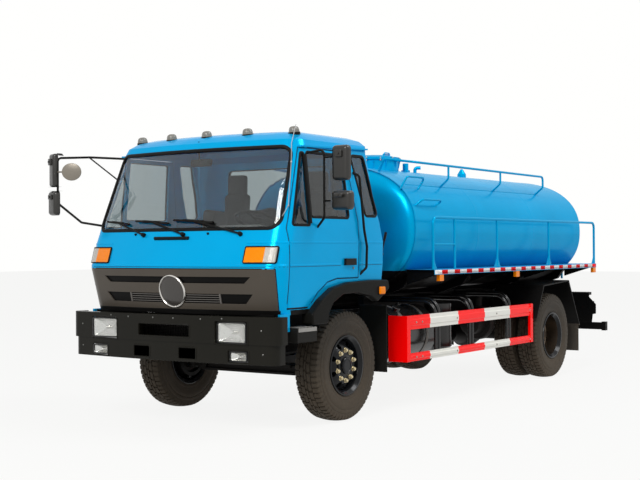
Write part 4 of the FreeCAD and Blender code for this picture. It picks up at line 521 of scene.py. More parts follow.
@dataclass
class Assembly:
    """A sub-assembly of the truck, with what its pieces share."""

    model: Model
    rides: ClassVar[Body] = Body.CHASSIS

    def finish_piece(self, piece: bpy.types.Object, finishes: Sequence[AnyFinish], body: Body) -> bpy.types.Object:
        """Gives a piece its finishes and body, and reports it.

        Args:
            piece: The finished object.
            finishes: Its finishes, the main one first.
            body: The body it rides on.

        Returns:
            The same object.
        """
        for finish in finishes:
            piece.data.materials.append(finish.material())
        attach(piece, body.value)
        LOG.info("%s: %d faces", piece.name, len(piece.data.polygons))
        return piece

    def piece(self, name: str, mesh: Mesh, finish: AnyFinish, body: Body | None = None, bevel: float = 0.0,
              smooth: float = 35.0, extra: Sequence[AnyFinish] = ()) -> bpy.types.Object:
        """Turns a bmesh into a piece.

        Args:
            name: The piece's name.
            mesh: The shape, freed here.
            finish: Its finish.
            body: The body it rides on, or the sub-assembly's own.
            bevel: Width of a bevel on its hard edges, or 0.
            smooth: Edges sharper than this many degrees stay hard.
            extra: More finishes, by material index from 1.

        Returns:
            The new object.
        """
        bmesh.ops.remove_doubles(mesh, verts=mesh.verts, dist=1e-6)
        bmesh.ops.recalc_face_normals(mesh, faces=mesh.faces)
        return self.finish_piece(self.object_of(name, mesh, smooth, bevel), (finish, *extra), body or self.rides)

    def object_of(self, name: str, mesh: Mesh, smooth: float, bevel: float) -> bpy.types.Object:
        """Object with smooth faces, hard edges marked and an optional bevel.

        Args:
            name: The object's name.
            mesh: The shape, freed here.
            smooth: Edges sharper than this many degrees stay hard.
            bevel: Width of the bevel, or 0.

        Returns:
            The new object, linked to the scene.
        """
        for face in mesh.faces:
            face.smooth = True
        limit = math.radians(smooth)
        for edge in mesh.edges:
            edge.smooth = not (edge.is_manifold and edge.calc_face_angle(0.0) > limit)
        data = bpy.data.meshes.new(name)
        mesh.to_mesh(data)
        mesh.free()
        made = new_object(name, data)
        if bevel:
            modifier = made.modifiers.new("edge", "BEVEL")
            modifier.width = bevel
            modifier.segments = 2
            modifier.limit_method = "ANGLE"
            modifier.angle_limit = math.radians(max(smooth, 32.0))
            modifier.harden_normals = True
        return made

    def cad_mesh(self, node: str) -> Mesh:
        """Merged copy of a CAD node's mesh with its flat faces made whole.

        Args:
            node: The node's name.

        Returns:
            The copy.
        """
        mesh = bmesh.new()
        mesh.from_mesh(self.model.nodes[node].data)
        bmesh.ops.remove_doubles(mesh, verts=mesh.verts, dist=2e-5)
        bmesh.ops.dissolve_limit(mesh, angle_limit=math.radians(0.6), verts=mesh.verts, edges=mesh.edges)
        return mesh

    def dressed(self, node: str, finish: AnyFinish, bevel: float = 0.0, smooth: float = 30.0,
                cuts: Sequence[tuple[int, float]] = (), extra: Sequence[AnyFinish] = (),
                pick: Callable[[Vector, Vector], int] | None = None,
                drop: Callable[[Vector], bool] | None = None) -> bpy.types.Object:
        """Smooth copy of a CAD node that stands for it.

        Args:
            node: The node's name.
            finish: Its finish.
            bevel: Width of a bevel on its hard edges, or 0.
            smooth: Edges sharper than this many degrees stay hard.
            cuts: Planes, as axis and place, along which its faces are split.
            extra: More finishes, by index from 1.
            pick: Gives a face's finish index from its middle and normal.
            drop: Says by its middle whether a face is left out, to be modelled anew.

        Returns:
            The new object.
        """
        mesh = self.cad_mesh(node)
        if drop:
            doomed = [face for face in mesh.faces if drop(face.calc_center_median())]
            bmesh.ops.delete(mesh, geom=doomed, context="FACES")
        for axis, place in cuts:
            cut_at(mesh, axis, place)
        if pick:
            for face in mesh.faces:
                face.material_index = pick(face.calc_center_median(), face.normal)
        made = self.object_of(node + "_skin", mesh, smooth, bevel)
        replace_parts(made, node)
        return self.finish_piece(made, (finish, *extra), self.model.body_of[node])


# Surfaces


class Spot(NamedTuple):
    """A place on a surface and the way the surface faces there."""

    point: Vector
    normal: Vector


def facing(place: Point, way: Point) -> Spot:
    """Spot at a place that faces some way."""
    return Spot(Vector(place), Vector(way).normalized())


class Skin:
    """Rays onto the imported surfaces, so that trim sits on them."""

    def __init__(self, model: Model, nodes: Iterable[str]) -> None:
        """Collects the surfaces.

        Args:
            model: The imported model.
            nodes: Nodes whose surfaces count.
        """
        mesh = bmesh.new()
        for node in nodes:
            mesh.from_mesh(model.nodes[node].data)
        self.tree = BVHTree.FromBMesh(mesh)
        mesh.free()

    def cast(self, start: Point, aim: Point) -> Spot:
        """First surface met on the way from one point to another, or else the one nearest to the second.

        Args:
            start: Where the ray starts.
            aim: Where it ends.

        Returns:
            The spot on the surface, with its normal towards the start.
        """
        way = Vector(aim) - Vector(start)
        point, normal, _, _ = self.tree.ray_cast(Vector(start), way.normalized(), way.length)
        if point is None:
            point, normal, _, _ = self.tree.find_nearest(Vector(aim) - way.normalized() * 0.2)
        return Spot(point, -normal if normal.dot(way) > 0 else normal)

    def front(self, x: float, z: float) -> Spot:
        """Spot met from ahead."""
        return self.cast((x, -6.0, z), (x, -3.3, z))

    def rear(self, x: float, z: float) -> Spot:
        """Spot met from just behind the cab."""
        return self.cast((x, -1.45, z), (x, -2.4, z))

    def side(self, y: float, z: float, sign: float = 1.0) -> Spot:
        """Spot met from one side."""
        return self.cast((sign * 3.0, y, z), (sign * 0.95, y, z))

    def flank(self, sign: float) -> Callable[[float, float], Spot]:
        """Way to the spots on one side by their distance behind the front axle and their height."""
        return lambda distance, z: self.side(at(distance), z, sign)

    def line(self, z: float, start: float, end: float, sign: float, count: int) -> list[Spot]:
        """Spots along one side at a height, between two distances behind the front axle."""
        return [self.side(at(start + (end - start) * step / count), z, sign) for step in range(count + 1)]

    def round(self, turn: float, z: float) -> Spot:
        """Spot met from an angle round the cab's middle, 0 being straight ahead."""
        x, y = math.sin(turn), -math.cos(turn)
        return self.cast((4.0 * x, -2.85 + 4.0 * y, z), (0.5 * x, -2.85 + 0.5 * y, z))


# Outlines and strips


def grown(outline: Outline, reach: float) -> list[tuple[float, float]]:
    """Closed outline moved outwards, with its corners kept.

    Args:
        outline: Its corners, in turn.
        reach: The distance.

    Returns:
        The new corners.
    """
    points = [Vector(corner) for corner in outline]
    count = len(points)
    area = sum(points[i].cross(points[(i + 1) % count]) for i in range(count))
    turn = 1.0 if area > 0 else -1.0
    made = []
    for index, corner in enumerate(points):
        first = (corner - points[index - 1]).normalized()
        second = (points[(index + 1) % count] - corner).normalized()
        out_a = Vector((first.y, -first.x)) * turn
        out_b = Vector((second.y, -second.x)) * turn
        move = (out_a + out_b) / (1.0 + out_a.dot(out_b))
        made.append(tuple(corner + move * reach))
    return made


def rounded(outline: Outline, radius: float, step: float = 0.06) -> list[tuple[float, float]]:
    """Closed outline with round corners and points along its sides.

    Args:
        outline: Its corners, in turn.
        radius: Radius of every corner.
        step: Longest run between points.

    Returns:
        The points.
    """
    points = [Vector(corner) for corner in outline]
    count = len(points)
    made: list[Vector] = []
    for index, corner in enumerate(points):
        back = (points[index - 1] - corner).normalized()
        ahead = (points[(index + 1) % count] - corner).normalized()
        half = back.angle(ahead) / 2
        run = radius / math.tan(half)
        middle = corner + (back + ahead).normalized() * radius / math.sin(half)
        start, end = corner + back * run - middle, corner + ahead * run - middle
        turn = math.atan2(start.cross(end), start.dot(end))
        if made:
            pieces = max(1, int((corner + back * run - made[-1]).length / step))
            first = made[-1].copy()
            made += [first.lerp(corner + back * run, share / pieces) for share in range(1, pieces)]
        for share in range(7):
            made.append(middle + Matrix.Rotation(turn * share / 6, 2) @ start)
    pieces = max(1, int((made[0] - made[-1]).length / step))
    last = made[-1].copy()
    made += [last.lerp(made[0], share / pieces) for share in range(1, pieces)]
    return [tuple(point) for point in made]


def add_loop(mesh: Mesh, points: Iterable[Sequence[float]]) -> list[Edge]:
    """Adds a closed loop of edges through points."""
    verts = [mesh.verts.new(point) for point in points]
    return [mesh.edges.new(pair) for pair in zip(verts, verts[1:] + verts[:1])]


def join_loops(mesh: Mesh, loops: Sequence[list[Edge]], capped: bool = True) -> None:
    """Bridges each loop to the next and, where asked, closes both ends."""
    for first, second in zip(loops, loops[1:]):
        bmesh.ops.bridge_loops(mesh, edges=first + second)
    if capped:
        for loop in (loops[0], loops[-1]):
            bmesh.ops.contextual_create(mesh, geom=loop)


def merge_part(mesh: Mesh, part: Mesh) -> None:
    """Adds one bmesh to another and frees it."""
    data = bpy.data.meshes.new("part")
    part.to_mesh(data)
    part.free()
    mesh.from_mesh(data)
    bpy.data.meshes.remove(data)


def box_outline(x: float, z: float, half_x: float, half_z: float) -> list[tuple[float, float]]:
    """Corners of a rectangle about a centre."""
    return [(x - half_x, z - half_z), (x + half_x, z - half_z), (x + half_x, z + half_z), (x - half_x, z + half_z)]


def ring_of(x: float, y: float, reach: float, count: int, shift: float = 0.5) -> list[tuple[float, float]]:
    """Points evenly spaced on a circle, the first a share of a step on."""
    angles = [math.tau * (step + shift) / count for step in range(count)]
    return [(x + reach * math.cos(angle), y + reach * math.sin(angle)) for angle in angles]


def add_strip(mesh: Mesh, path: Sequence[Spot], half: float, height: float, closed: bool = False,
              sink: float = 0.003) -> None:
    """Adds a rounded strip along a path on a surface.

    Args:
        mesh: The bmesh to add to.
        path: Spots that it follows.
        half: Half of its width.
        height: How far it stands out.
        closed: Whether its ends join.
        sink: How far it reaches in.
    """
    loops = []
    count = len(path)
    section = ((-half, -sink), (-half, height * 0.35), (-half * 0.55, height), (half * 0.55, height),
               (half, height * 0.35), (half, -sink))
    for index, spot in enumerate(path):
        before = path[(index - 1) % count if closed else max(index - 1, 0)].point
        after = path[(index + 1) % count if closed else min(index + 1, count - 1)].point
        along = (after - before).normalized()
        up = (spot.normal - along * spot.normal.dot(along)).normalized()
        side = along.cross(up)
        loops.append(add_loop(mesh, [spot.point + side * a + up * b for a, b in section]))
    join_loops(mesh, loops + loops[:1] if closed else loops, not closed)


def add_frame(mesh: Mesh, place: Callable[[float, float], Spot], outline: Outline, reach: float, radius: float,
              step: float, half: float, height: float, sink: float = 0.003) -> None:
    """Adds a closed strip round an opening.

    Args:
        mesh: The bmesh to add to.
        place: Gives the spot on the surface for a point of the outline.
        outline: The opening's corners.
        reach: Distance of the strip's middle line outside them.
        radius: Radius of its corners.
        step: Longest run between its points.
        half: Half of the strip's width.
        height: How far it stands out.
        sink: How far it reaches in.
    """
    path = [place(a, b) for a, b in rounded(grown(outline, reach), radius, step)]
    add_strip(mesh, path, half, height, closed=True, sink=sink)


def edges_of(verts: Iterable[Vert]) -> list[Edge]:
    """Edges that meet some vertices."""
    return list({edge for vert in verts for edge in vert.link_edges})


def tint(verts: Iterable[Vert], index: int) -> None:
    """Gives the faces round some vertices a finish by its index."""
    for face in {face for vert in verts for face in vert.link_faces}:
        face.material_index = index


def cut_at(mesh: Mesh, axis: int, place: float) -> None:
    """Splits a bmesh's faces along a plane across one axis."""
    spot, way = Vector((0, 0, 0)), Vector((0, 0, 0))
    spot[axis], way[axis] = place, 1.0
    bmesh.ops.bisect_plane(mesh, geom=[*mesh.verts, *mesh.edges, *mesh.faces], plane_co=spot, plane_no=way)


def add_pad(mesh: Mesh, spot: Spot, half: tuple[float, float], height: float, corner: float,
            sink: float = 0.004, shoulder: float = 0.55) -> list[Vert]:
    """Adds a rounded rectangular pad with soft edges that stands on a spot.

    Args:
        mesh: The bmesh to add to.
        spot: Where its middle stands.
        half: Half of its width and of its height across the surface.
        height: How far it stands out.
        corner: Radius of its corners.
        sink: How far it reaches in.
        shoulder: Share of the height where its edge starts to turn in.

    Returns:
        Its vertices.
    """
    across = Vector((0, 0, 1)).cross(spot.normal).normalized()
    upward = spot.normal.cross(across)
    turn = min(height * (1 - shoulder), min(half) * 0.4)
    rings = [(-sink, 0.0), (height * shoulder, 0.0), (height * shoulder + turn * 0.6, turn * 0.2),
             (height * shoulder + turn * 0.9, turn * 0.55), (height * shoulder + turn, turn)]
    loops = []
    for level, inset in rings:
        a, b = half[0] - inset, half[1] - inset
        outline = rounded(box_outline(0.0, 0.0, a, b), max(corner - inset, min(a, b) * 0.05), NO_STEPS)
        points = [spot.point + across * px + upward * py + spot.normal * level for px, py in outline]
        loops.append(add_loop(mesh, points))
    join_loops(mesh, loops)
    return list({vert for loop in loops for edge in loop for vert in edge.verts})


def add_turned(mesh: Mesh, profile: Outline, spot: Spot, steps: int) -> None:
    """Adds a turned shape that stands on a spot.

    Args:
        mesh: The bmesh to add to.
        profile: Height above the spot and radius of each point.
        spot: Where it stands.
        steps: Steps round the circle.
    """
    verts = add_spin(mesh, profile, (0.0, 0.0, 0.0), steps)
    turn = Vector((1, 0, 0)).rotation_difference(spot.normal).to_matrix().to_4x4()
    bmesh.ops.transform(mesh, matrix=Matrix.Translation(spot.point) @ turn, verts=verts)


def add_tube(mesh: Mesh, points: Sequence[Point], radius: float, segments: int = 12) -> None:
    """Adds a capped tube through points.

    Args:
        mesh: The bmesh to add to.
        points: Its middle line.
        radius: Its radius.
        segments: Sides.
    """
    line = [Vector(point) for point in points]
    loops = []
    for index, point in enumerate(line):
        along = (line[min(index + 1, len(line) - 1)] - line[max(index - 1, 0)]).normalized()
        matrix = Matrix.Translation(point) @ along.to_track_quat("Z", "Y").to_matrix().to_4x4()
        verts = bmesh.ops.create_circle(mesh, segments=segments, radius=radius, matrix=matrix)["verts"]
        loops.append(edges_of(verts))
    join_loops(mesh, loops)


# Small shapes


def add_box(mesh: Mesh, low: Point, high: Point) -> list[Vert]:
    """Adds a box between two corners and returns its vertices."""
    centre = [(a + b) / 2 for a, b in zip(low, high)]
    size = [abs(b - a) for a, b in zip(low, high)]
    matrix = Matrix.Translation(centre) @ Matrix.Diagonal((*size, 1.0))
    return bmesh.ops.create_cube(mesh, size=1.0, matrix=matrix)["verts"]


def add_rod(mesh: Mesh, start: Point, end: Point, radius: float, segments: int) -> None:
    """Adds a capped cylinder between two points.

    Args:
        mesh: The bmesh to add to.
        start: Centre of the first end.
        end: Centre of the other end.
        radius: Its radius.
        segments: Sides.
    """
    a, b = Vector(start), Vector(end)
    along = b - a
    turn = along.to_track_quat("Z", "Y").to_matrix().to_4x4()
    matrix = Matrix.Translation((a + b) / 2) @ turn
    bmesh.ops.create_cone(mesh, cap_ends=True, segments=segments, radius1=radius, radius2=radius, depth=along.length,
                          matrix=matrix)


def add_spin(mesh: Mesh, profile: Outline, centre: Point, steps: int) -> list[Vert]:
    """Spins a closed profile of (offset along X, radius) about a line along X.

    Args:
        mesh: The bmesh to add to.
        profile: The profile's points.
        centre: A point on the axis that the offsets start from.
        steps: Steps round the circle.

    Returns:
        The new vertices.
    """
    before = set(mesh.verts)
    x, y, z = centre
    edges = add_loop(mesh, [(x + px, y, z + r) for px, r in profile])
    verts = [vert for vert in mesh.verts if vert not in before]
    bmesh.ops.spin(mesh, geom=verts + edges, cent=centre, axis=(1, 0, 0), angle=math.tau, steps=steps, use_merge=True)
    made = [v for v in mesh.verts if v not in before]
    bmesh.ops.remove_doubles(mesh, verts=made, dist=1e-6)
    return [v for v in mesh.verts if v not in before]


def add_soft_box(mesh: Mesh, low: Point, high: Point, width: float, segments: int) -> None:
    """Adds a box with round edges of a given width."""
    bmesh.ops.bevel(mesh, geom=edges_of(add_box(mesh, low, high)), offset=width, affect="EDGES", segments=segments,
                    profile=0.5, material=-1)


# Wheels


@dataclass
class Tyre(Assembly):
    """A radial truck tyre with ribs, shoulder blocks and stepped side walls."""

    name: str = "tyre"
    centre_x: float = 0.962
    axle_y: float = FRONT_AXLE_Y
    body: Body = Body.FRONT_LEFT_WHEEL
    radius: float = 0.523
    width: float = 0.27
    bead: float = 0.256
    groove: float = 0.013
    steps: int = 180

    def profile(self) -> list[tuple[float, float]]:
        """Half section from the bead over the crown to the other bead, with four grooves."""
        half = self.width / 2
        wall = [(-0.72 * half, self.bead), (-0.82 * half, self.bead + 0.012), (-0.86 * half, self.bead + 0.03),
                (-0.885 * half, 0.298), (-0.915 * half, 0.302), (-0.935 * half, 0.318), (-0.925 * half, 0.322),
                (-0.975 * half, 0.36), (-half, 0.388), (-0.99 * half, 0.415), (-0.975 * half, 0.4185),
                (-0.975 * half, 0.426), (-0.985 * half, 0.4295), (-0.965 * half, 0.448), (-0.935 * half, 0.452),
                (-0.93 * half, 0.47), (-0.9 * half, 0.49), (-0.87 * half, self.radius - 0.018),
                (-0.80 * half, self.radius - 0.012)]
        tread = [(-0.80 * half, self.radius - 0.012)]
        ribs = (-0.80, -0.46, -0.40, -0.14, -0.08, 0.08, 0.14, 0.40, 0.46, 0.80)
        for index in range(0, len(ribs), 2):
            for place in ribs[index:index + 2]:
                tread.append((place * half, self.radius - 0.012 * abs(place / 0.8) ** 2))
            if index + 2 < len(ribs):
                deep = self.radius - self.groove - 0.012 * abs(ribs[index + 1] / 0.8) ** 2
                tread.append((ribs[index + 1] * half + 0.002, deep))
                tread.append((ribs[index + 2] * half - 0.002, deep))
        return wall[:-1] + tread[1:] + [(-x, r) for x, r in reversed(wall[:-1])]

    def build(self) -> bpy.types.Object:
        """Builds the tyre in place of its solid.

        Returns:
            The tyre.
        """
        mesh = bmesh.new()
        self.add(mesh, self.centre_x)
        return self.piece(self.name + "_rubber", mesh, TYRE_RUBBER, self.body, smooth=28.0)

    def add(self, mesh: Mesh, centre_x: float) -> None:
        """Adds one tyre at a distance from the middle of the truck."""
        part = bmesh.new()
        add_spin(part, self.profile(), (centre_x, self.axle_y, AXLE_Z), self.steps)
        bmesh.ops.recalc_face_normals(part, faces=part.faces)
        self.cut_blocks(part, centre_x)
        merge_part(mesh, part)

    def cut_blocks(self, part: Mesh, centre_x: float) -> None:
        """Presses cross grooves into the shoulder ribs and staggered sipes into the inner ones."""
        half = self.width / 2
        picked = []
        for face in part.faces:
            middle = face.calc_center_median()
            offset = abs(middle.x - centre_x) / half
            reach = math.hypot(middle.y - self.axle_y, middle.z - AXLE_Z)
            turn = math.floor(math.atan2(middle.z - AXLE_Z, middle.y - self.axle_y) / math.tau * self.steps)
            if offset > 0.45:
                deep = offset < 0.955 and reach > self.radius - 0.052 and turn % 3 == 0
            elif offset > 0.12:
                deep = reach > self.radius - 0.006 and turn % 5 == (1 if middle.x > centre_x else 3)
            else:
                deep = reach > self.radius - 0.006 and turn % 5 == 0
            if deep:
                picked.append(face)
        made = bmesh.ops.extrude_face_region(part, geom=picked)
        verts = [item for item in made["geom"] if isinstance(item, Vert)]
        bmesh.ops.delete(part, geom=picked, context="FACES")
        for vert in verts:
            out = Vector((0, vert.co.y - self.axle_y, vert.co.z - AXLE_Z)).normalized()
            vert.co -= out * self.groove * 0.8


@dataclass
class WheelSet(Assembly):
    """Tyres and rims of all four corners."""

    front_x: float = 0.962
    twin_x: tuple[float, float] = (1.09, 0.78)
    black_x: float = 1.176
    holes: int = 8
    nut_circle: float = 0.142
    nut_count: int = 10

    def build(self) -> None:
        """Builds every wheel."""
        for side in Side:
            sign = side.value
            front = Body[f"FRONT_{side.name}_WHEEL"]
            tyre = Tyre(self.model, f"front_{side.word}_tyre", sign * self.front_x, FRONT_AXLE_Y, front)
            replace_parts(tyre.build(), f"front_{side.word}_tyre")
            rear = Body[f"REAR_{side.name}_WHEELS"]
            twin = Tyre(self.model, f"rear_{side.word}_tyres", sign * self.twin_x[0], REAR_AXLE_Y, rear)
            mesh = bmesh.new()
            for x in self.twin_x:
                twin.add(mesh, sign * x)
            made = self.piece(f"rear_{side.word}_tyres_rubber", mesh, TYRE_RUBBER, rear, smooth=28.0)
            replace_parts(made, f"rear_{side.word}_tyres")
            self.front_rim(side, front)
            self.rear_rim(side, rear)

    def spun(self, mesh: Mesh, sign: float, profile: Outline, centre: Point, steps: int) -> list[Vert]:
        """Spins a profile whose offsets run towards the truck's side."""
        return add_spin(mesh, [(sign * x, r) for x, r in profile], centre, steps)

    def add_disc(self, mesh: Mesh, profile: Outline, centre: Point, circle: float = 0.188,
                 radius: float = 0.025) -> None:
        """Adds a wheel disc with eight hand holes through it.

        Args:
            mesh: The bmesh to add to.
            profile: Closed section of the disc.
            centre: The wheel's centre.
            circle: Radius of the circle that the holes lie on.
            radius: Radius of a hole.
        """
        part = bmesh.new()
        add_spin(part, profile, centre, 144)
        doomed = []
        holes = ring_of(centre[1], centre[2], circle, self.holes)
        for face in part.faces:
            middle = face.calc_center_median()
            if any(math.hypot(middle.y - y, middle.z - z) < radius * 0.98 for y, z in holes):
                doomed.append(face)
        bmesh.ops.delete(part, geom=doomed, context="FACES")
        for y, z in holes:
            rim = [edge for edge in part.edges if edge.is_boundary
                   and all(math.hypot(vert.co.y - y, vert.co.z - z) < radius * 1.8 for vert in edge.verts)]
            for vert in {vert for edge in rim for vert in edge.verts}:
                way = Vector((0.0, vert.co.y - y, vert.co.z - z)).normalized() * radius
                vert.co.y, vert.co.z = y + way.y, z + way.z
            bmesh.ops.bridge_loops(part, edges=rim)
        merge_part(mesh, part)

    def front_rim(self, side: Side, body: Body) -> None:
        """Builds a steer wheel's rim with its disc, hub cap, drum and nuts."""
        sign = side.value
        centre = (sign * self.front_x, FRONT_AXLE_Y, AXLE_Z)
        mesh = bmesh.new()
        rim = [(0.128, 0.27), (0.126, 0.284), (0.117, 0.287), (0.112, 0.28), (0.108, 0.262), (0.095, 0.252),
               (0.05, 0.244), (-0.05, 0.244), (-0.112, 0.252), (-0.126, 0.287), (-0.13, 0.28), (-0.12, 0.247),
               (-0.06, 0.232), (0.05, 0.232), (0.09, 0.238), (0.106, 0.246), (0.118, 0.262)]
        self.spun(mesh, sign, rim, centre, 72)
        disc = [(0.03, 0.236), (0.0464, 0.234), (0.0583, 0.224), (0.0631, 0.217), (0.068, 0.21), (0.0733, 0.203),
                (0.0782, 0.196), (0.0835, 0.189), (0.0884, 0.182), (0.093, 0.176), (0.0977, 0.17), (0.102, 0.163),
                (0.106, 0.15), (0.1, 0.135), (0.098, 0.1), (0.084, 0.1), (0.084, 0.15), (0.078, 0.163), (0.0727, 0.17),
                (0.0685, 0.176), (0.0649, 0.182), (0.0595, 0.189), (0.0547, 0.196), (0.0498, 0.203), (0.045, 0.21),
                (0.0401, 0.217), (0.0323, 0.224)]
        self.add_disc(mesh, [(sign * x, r) for x, r in disc], centre)
        hub = [(0.0, 0.001), (0.0, 0.112), (0.092, 0.112), (0.102, 0.105), (0.107, 0.082), (0.124, 0.078),
               (0.13, 0.072), (0.133, 0.06), (0.127, 0.055), (0.127, 0.001)]
        self.spun(mesh, sign, hub, centre, 48)
        drum = [(-0.148, 0.165), (-0.148, 0.2), (-0.02, 0.2), (-0.02, 0.10), (-0.034, 0.10), (-0.034, 0.165)]
        tint(self.spun(mesh, sign, drum, centre, 48), 1)
        made = self.piece(f"front_{side.word}_rim_paint", mesh, RIM_BLACK, body, smooth=30.0, extra=(CHASSIS_BLACK,))
        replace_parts(made, f"front_{side.word}_rim")
        self.nuts(sign, body, centre, 0.1, f"front_{side.word}_nuts")

    def rear_rim(self, side: Side, body: Body) -> None:
        """Builds the twin rims with their dished discs, hub, drum and nuts."""
        sign = side.value
        mesh = bmesh.new()
        middle = (sign * sum(self.twin_x) / 2, REAR_AXLE_Y, AXLE_Z)
        for x in self.twin_x:
            centre = (sign * x, REAR_AXLE_Y, AXLE_Z)
            rim = [(0.128, 0.27), (0.126, 0.284), (0.117, 0.287), (0.112, 0.28), (0.108, 0.262), (0.095, 0.252),
                   (-0.1, 0.252), (-0.117, 0.287), (-0.126, 0.284), (-0.128, 0.27), (-0.1, 0.242), (0.09, 0.242),
                   (0.118, 0.262)]
            tint(self.spun(mesh, sign, rim, centre, 72), 1)
        for way in SIGNS:
            dish = [(0.0, 0.09), (0.0, 0.157), (0.001, 0.163), (0.002, 0.170), (0.004, 0.176), (0.0055, 0.182),
                    (0.0075, 0.189), (0.013, 0.196), (0.019, 0.203), (0.025, 0.210), (0.032, 0.217), (0.06, 0.236),
                    (0.075, 0.243), (0.09, 0.243), (0.062, 0.225), (0.053, 0.217), (0.046, 0.210), (0.039, 0.203),
                    (0.032, 0.196), (0.028, 0.189), (0.024, 0.182), (0.020, 0.176), (0.018, 0.170), (0.016, 0.163),
                    (0.015, 0.157), (0.013, 0.09)]
            self.add_disc(mesh, [(sign * way * a, r) for a, r in dish], middle)
        hub = [(-0.23, 0.001), (-0.23, 0.098), (0.012, 0.098), (0.012, 0.12), (0.03, 0.122), (0.036, 0.108),
               (0.12, 0.1), (0.15, 0.094), (0.157, 0.08), (0.157, 0.001)]
        self.spun(mesh, sign, hub, middle, 48)
        drum = [(-0.28, 0.165), (-0.28, 0.2), (-0.072, 0.2), (-0.072, 0.095), (-0.09, 0.095), (-0.09, 0.165)]
        self.spun(mesh, sign, drum, middle, 48)
        for face in mesh.faces:
            if abs(face.calc_center_median().x) < self.black_x and face.material_index == 1:
                face.material_index = 0
        made = self.piece(f"rear_{side.word}_rims_paint", mesh, RIM_BROWN, body, smooth=30.0, extra=(RIM_BLACK,))
        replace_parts(made, f"rear_{side.word}_rims")
        self.nuts(sign, body, middle, 0.013, f"rear_{side.word}_nuts")

    def nuts(self, sign: float, body: Body, centre: Point, face: float, name: str) -> None:
        """Adds wheel nuts with their washers and stud ends.

        Args:
            sign: The truck's side.
            body: The wheel's body.
            centre: The wheel's centre.
            face: Offset of the disc's face outwards from the centre.
            name: The piece's name.
        """
        mesh = bmesh.new()
        base = centre[0] + sign * face
        for y, z in ring_of(centre[1], centre[2], self.nut_circle, self.nut_count):
            for low, high, radius, sides in ((-0.002, 0.005, 0.0235, 18), (0, 0.023, 0.0195, 6),
                                             (0, 0.031, 0.0125, 12)):
                add_rod(mesh, (base + sign * low, y, z), (base + sign * high, y, z), radius, sides)
        self.piece(name, mesh, NUT_ZINC, body, bevel=0.0012)


# Tank


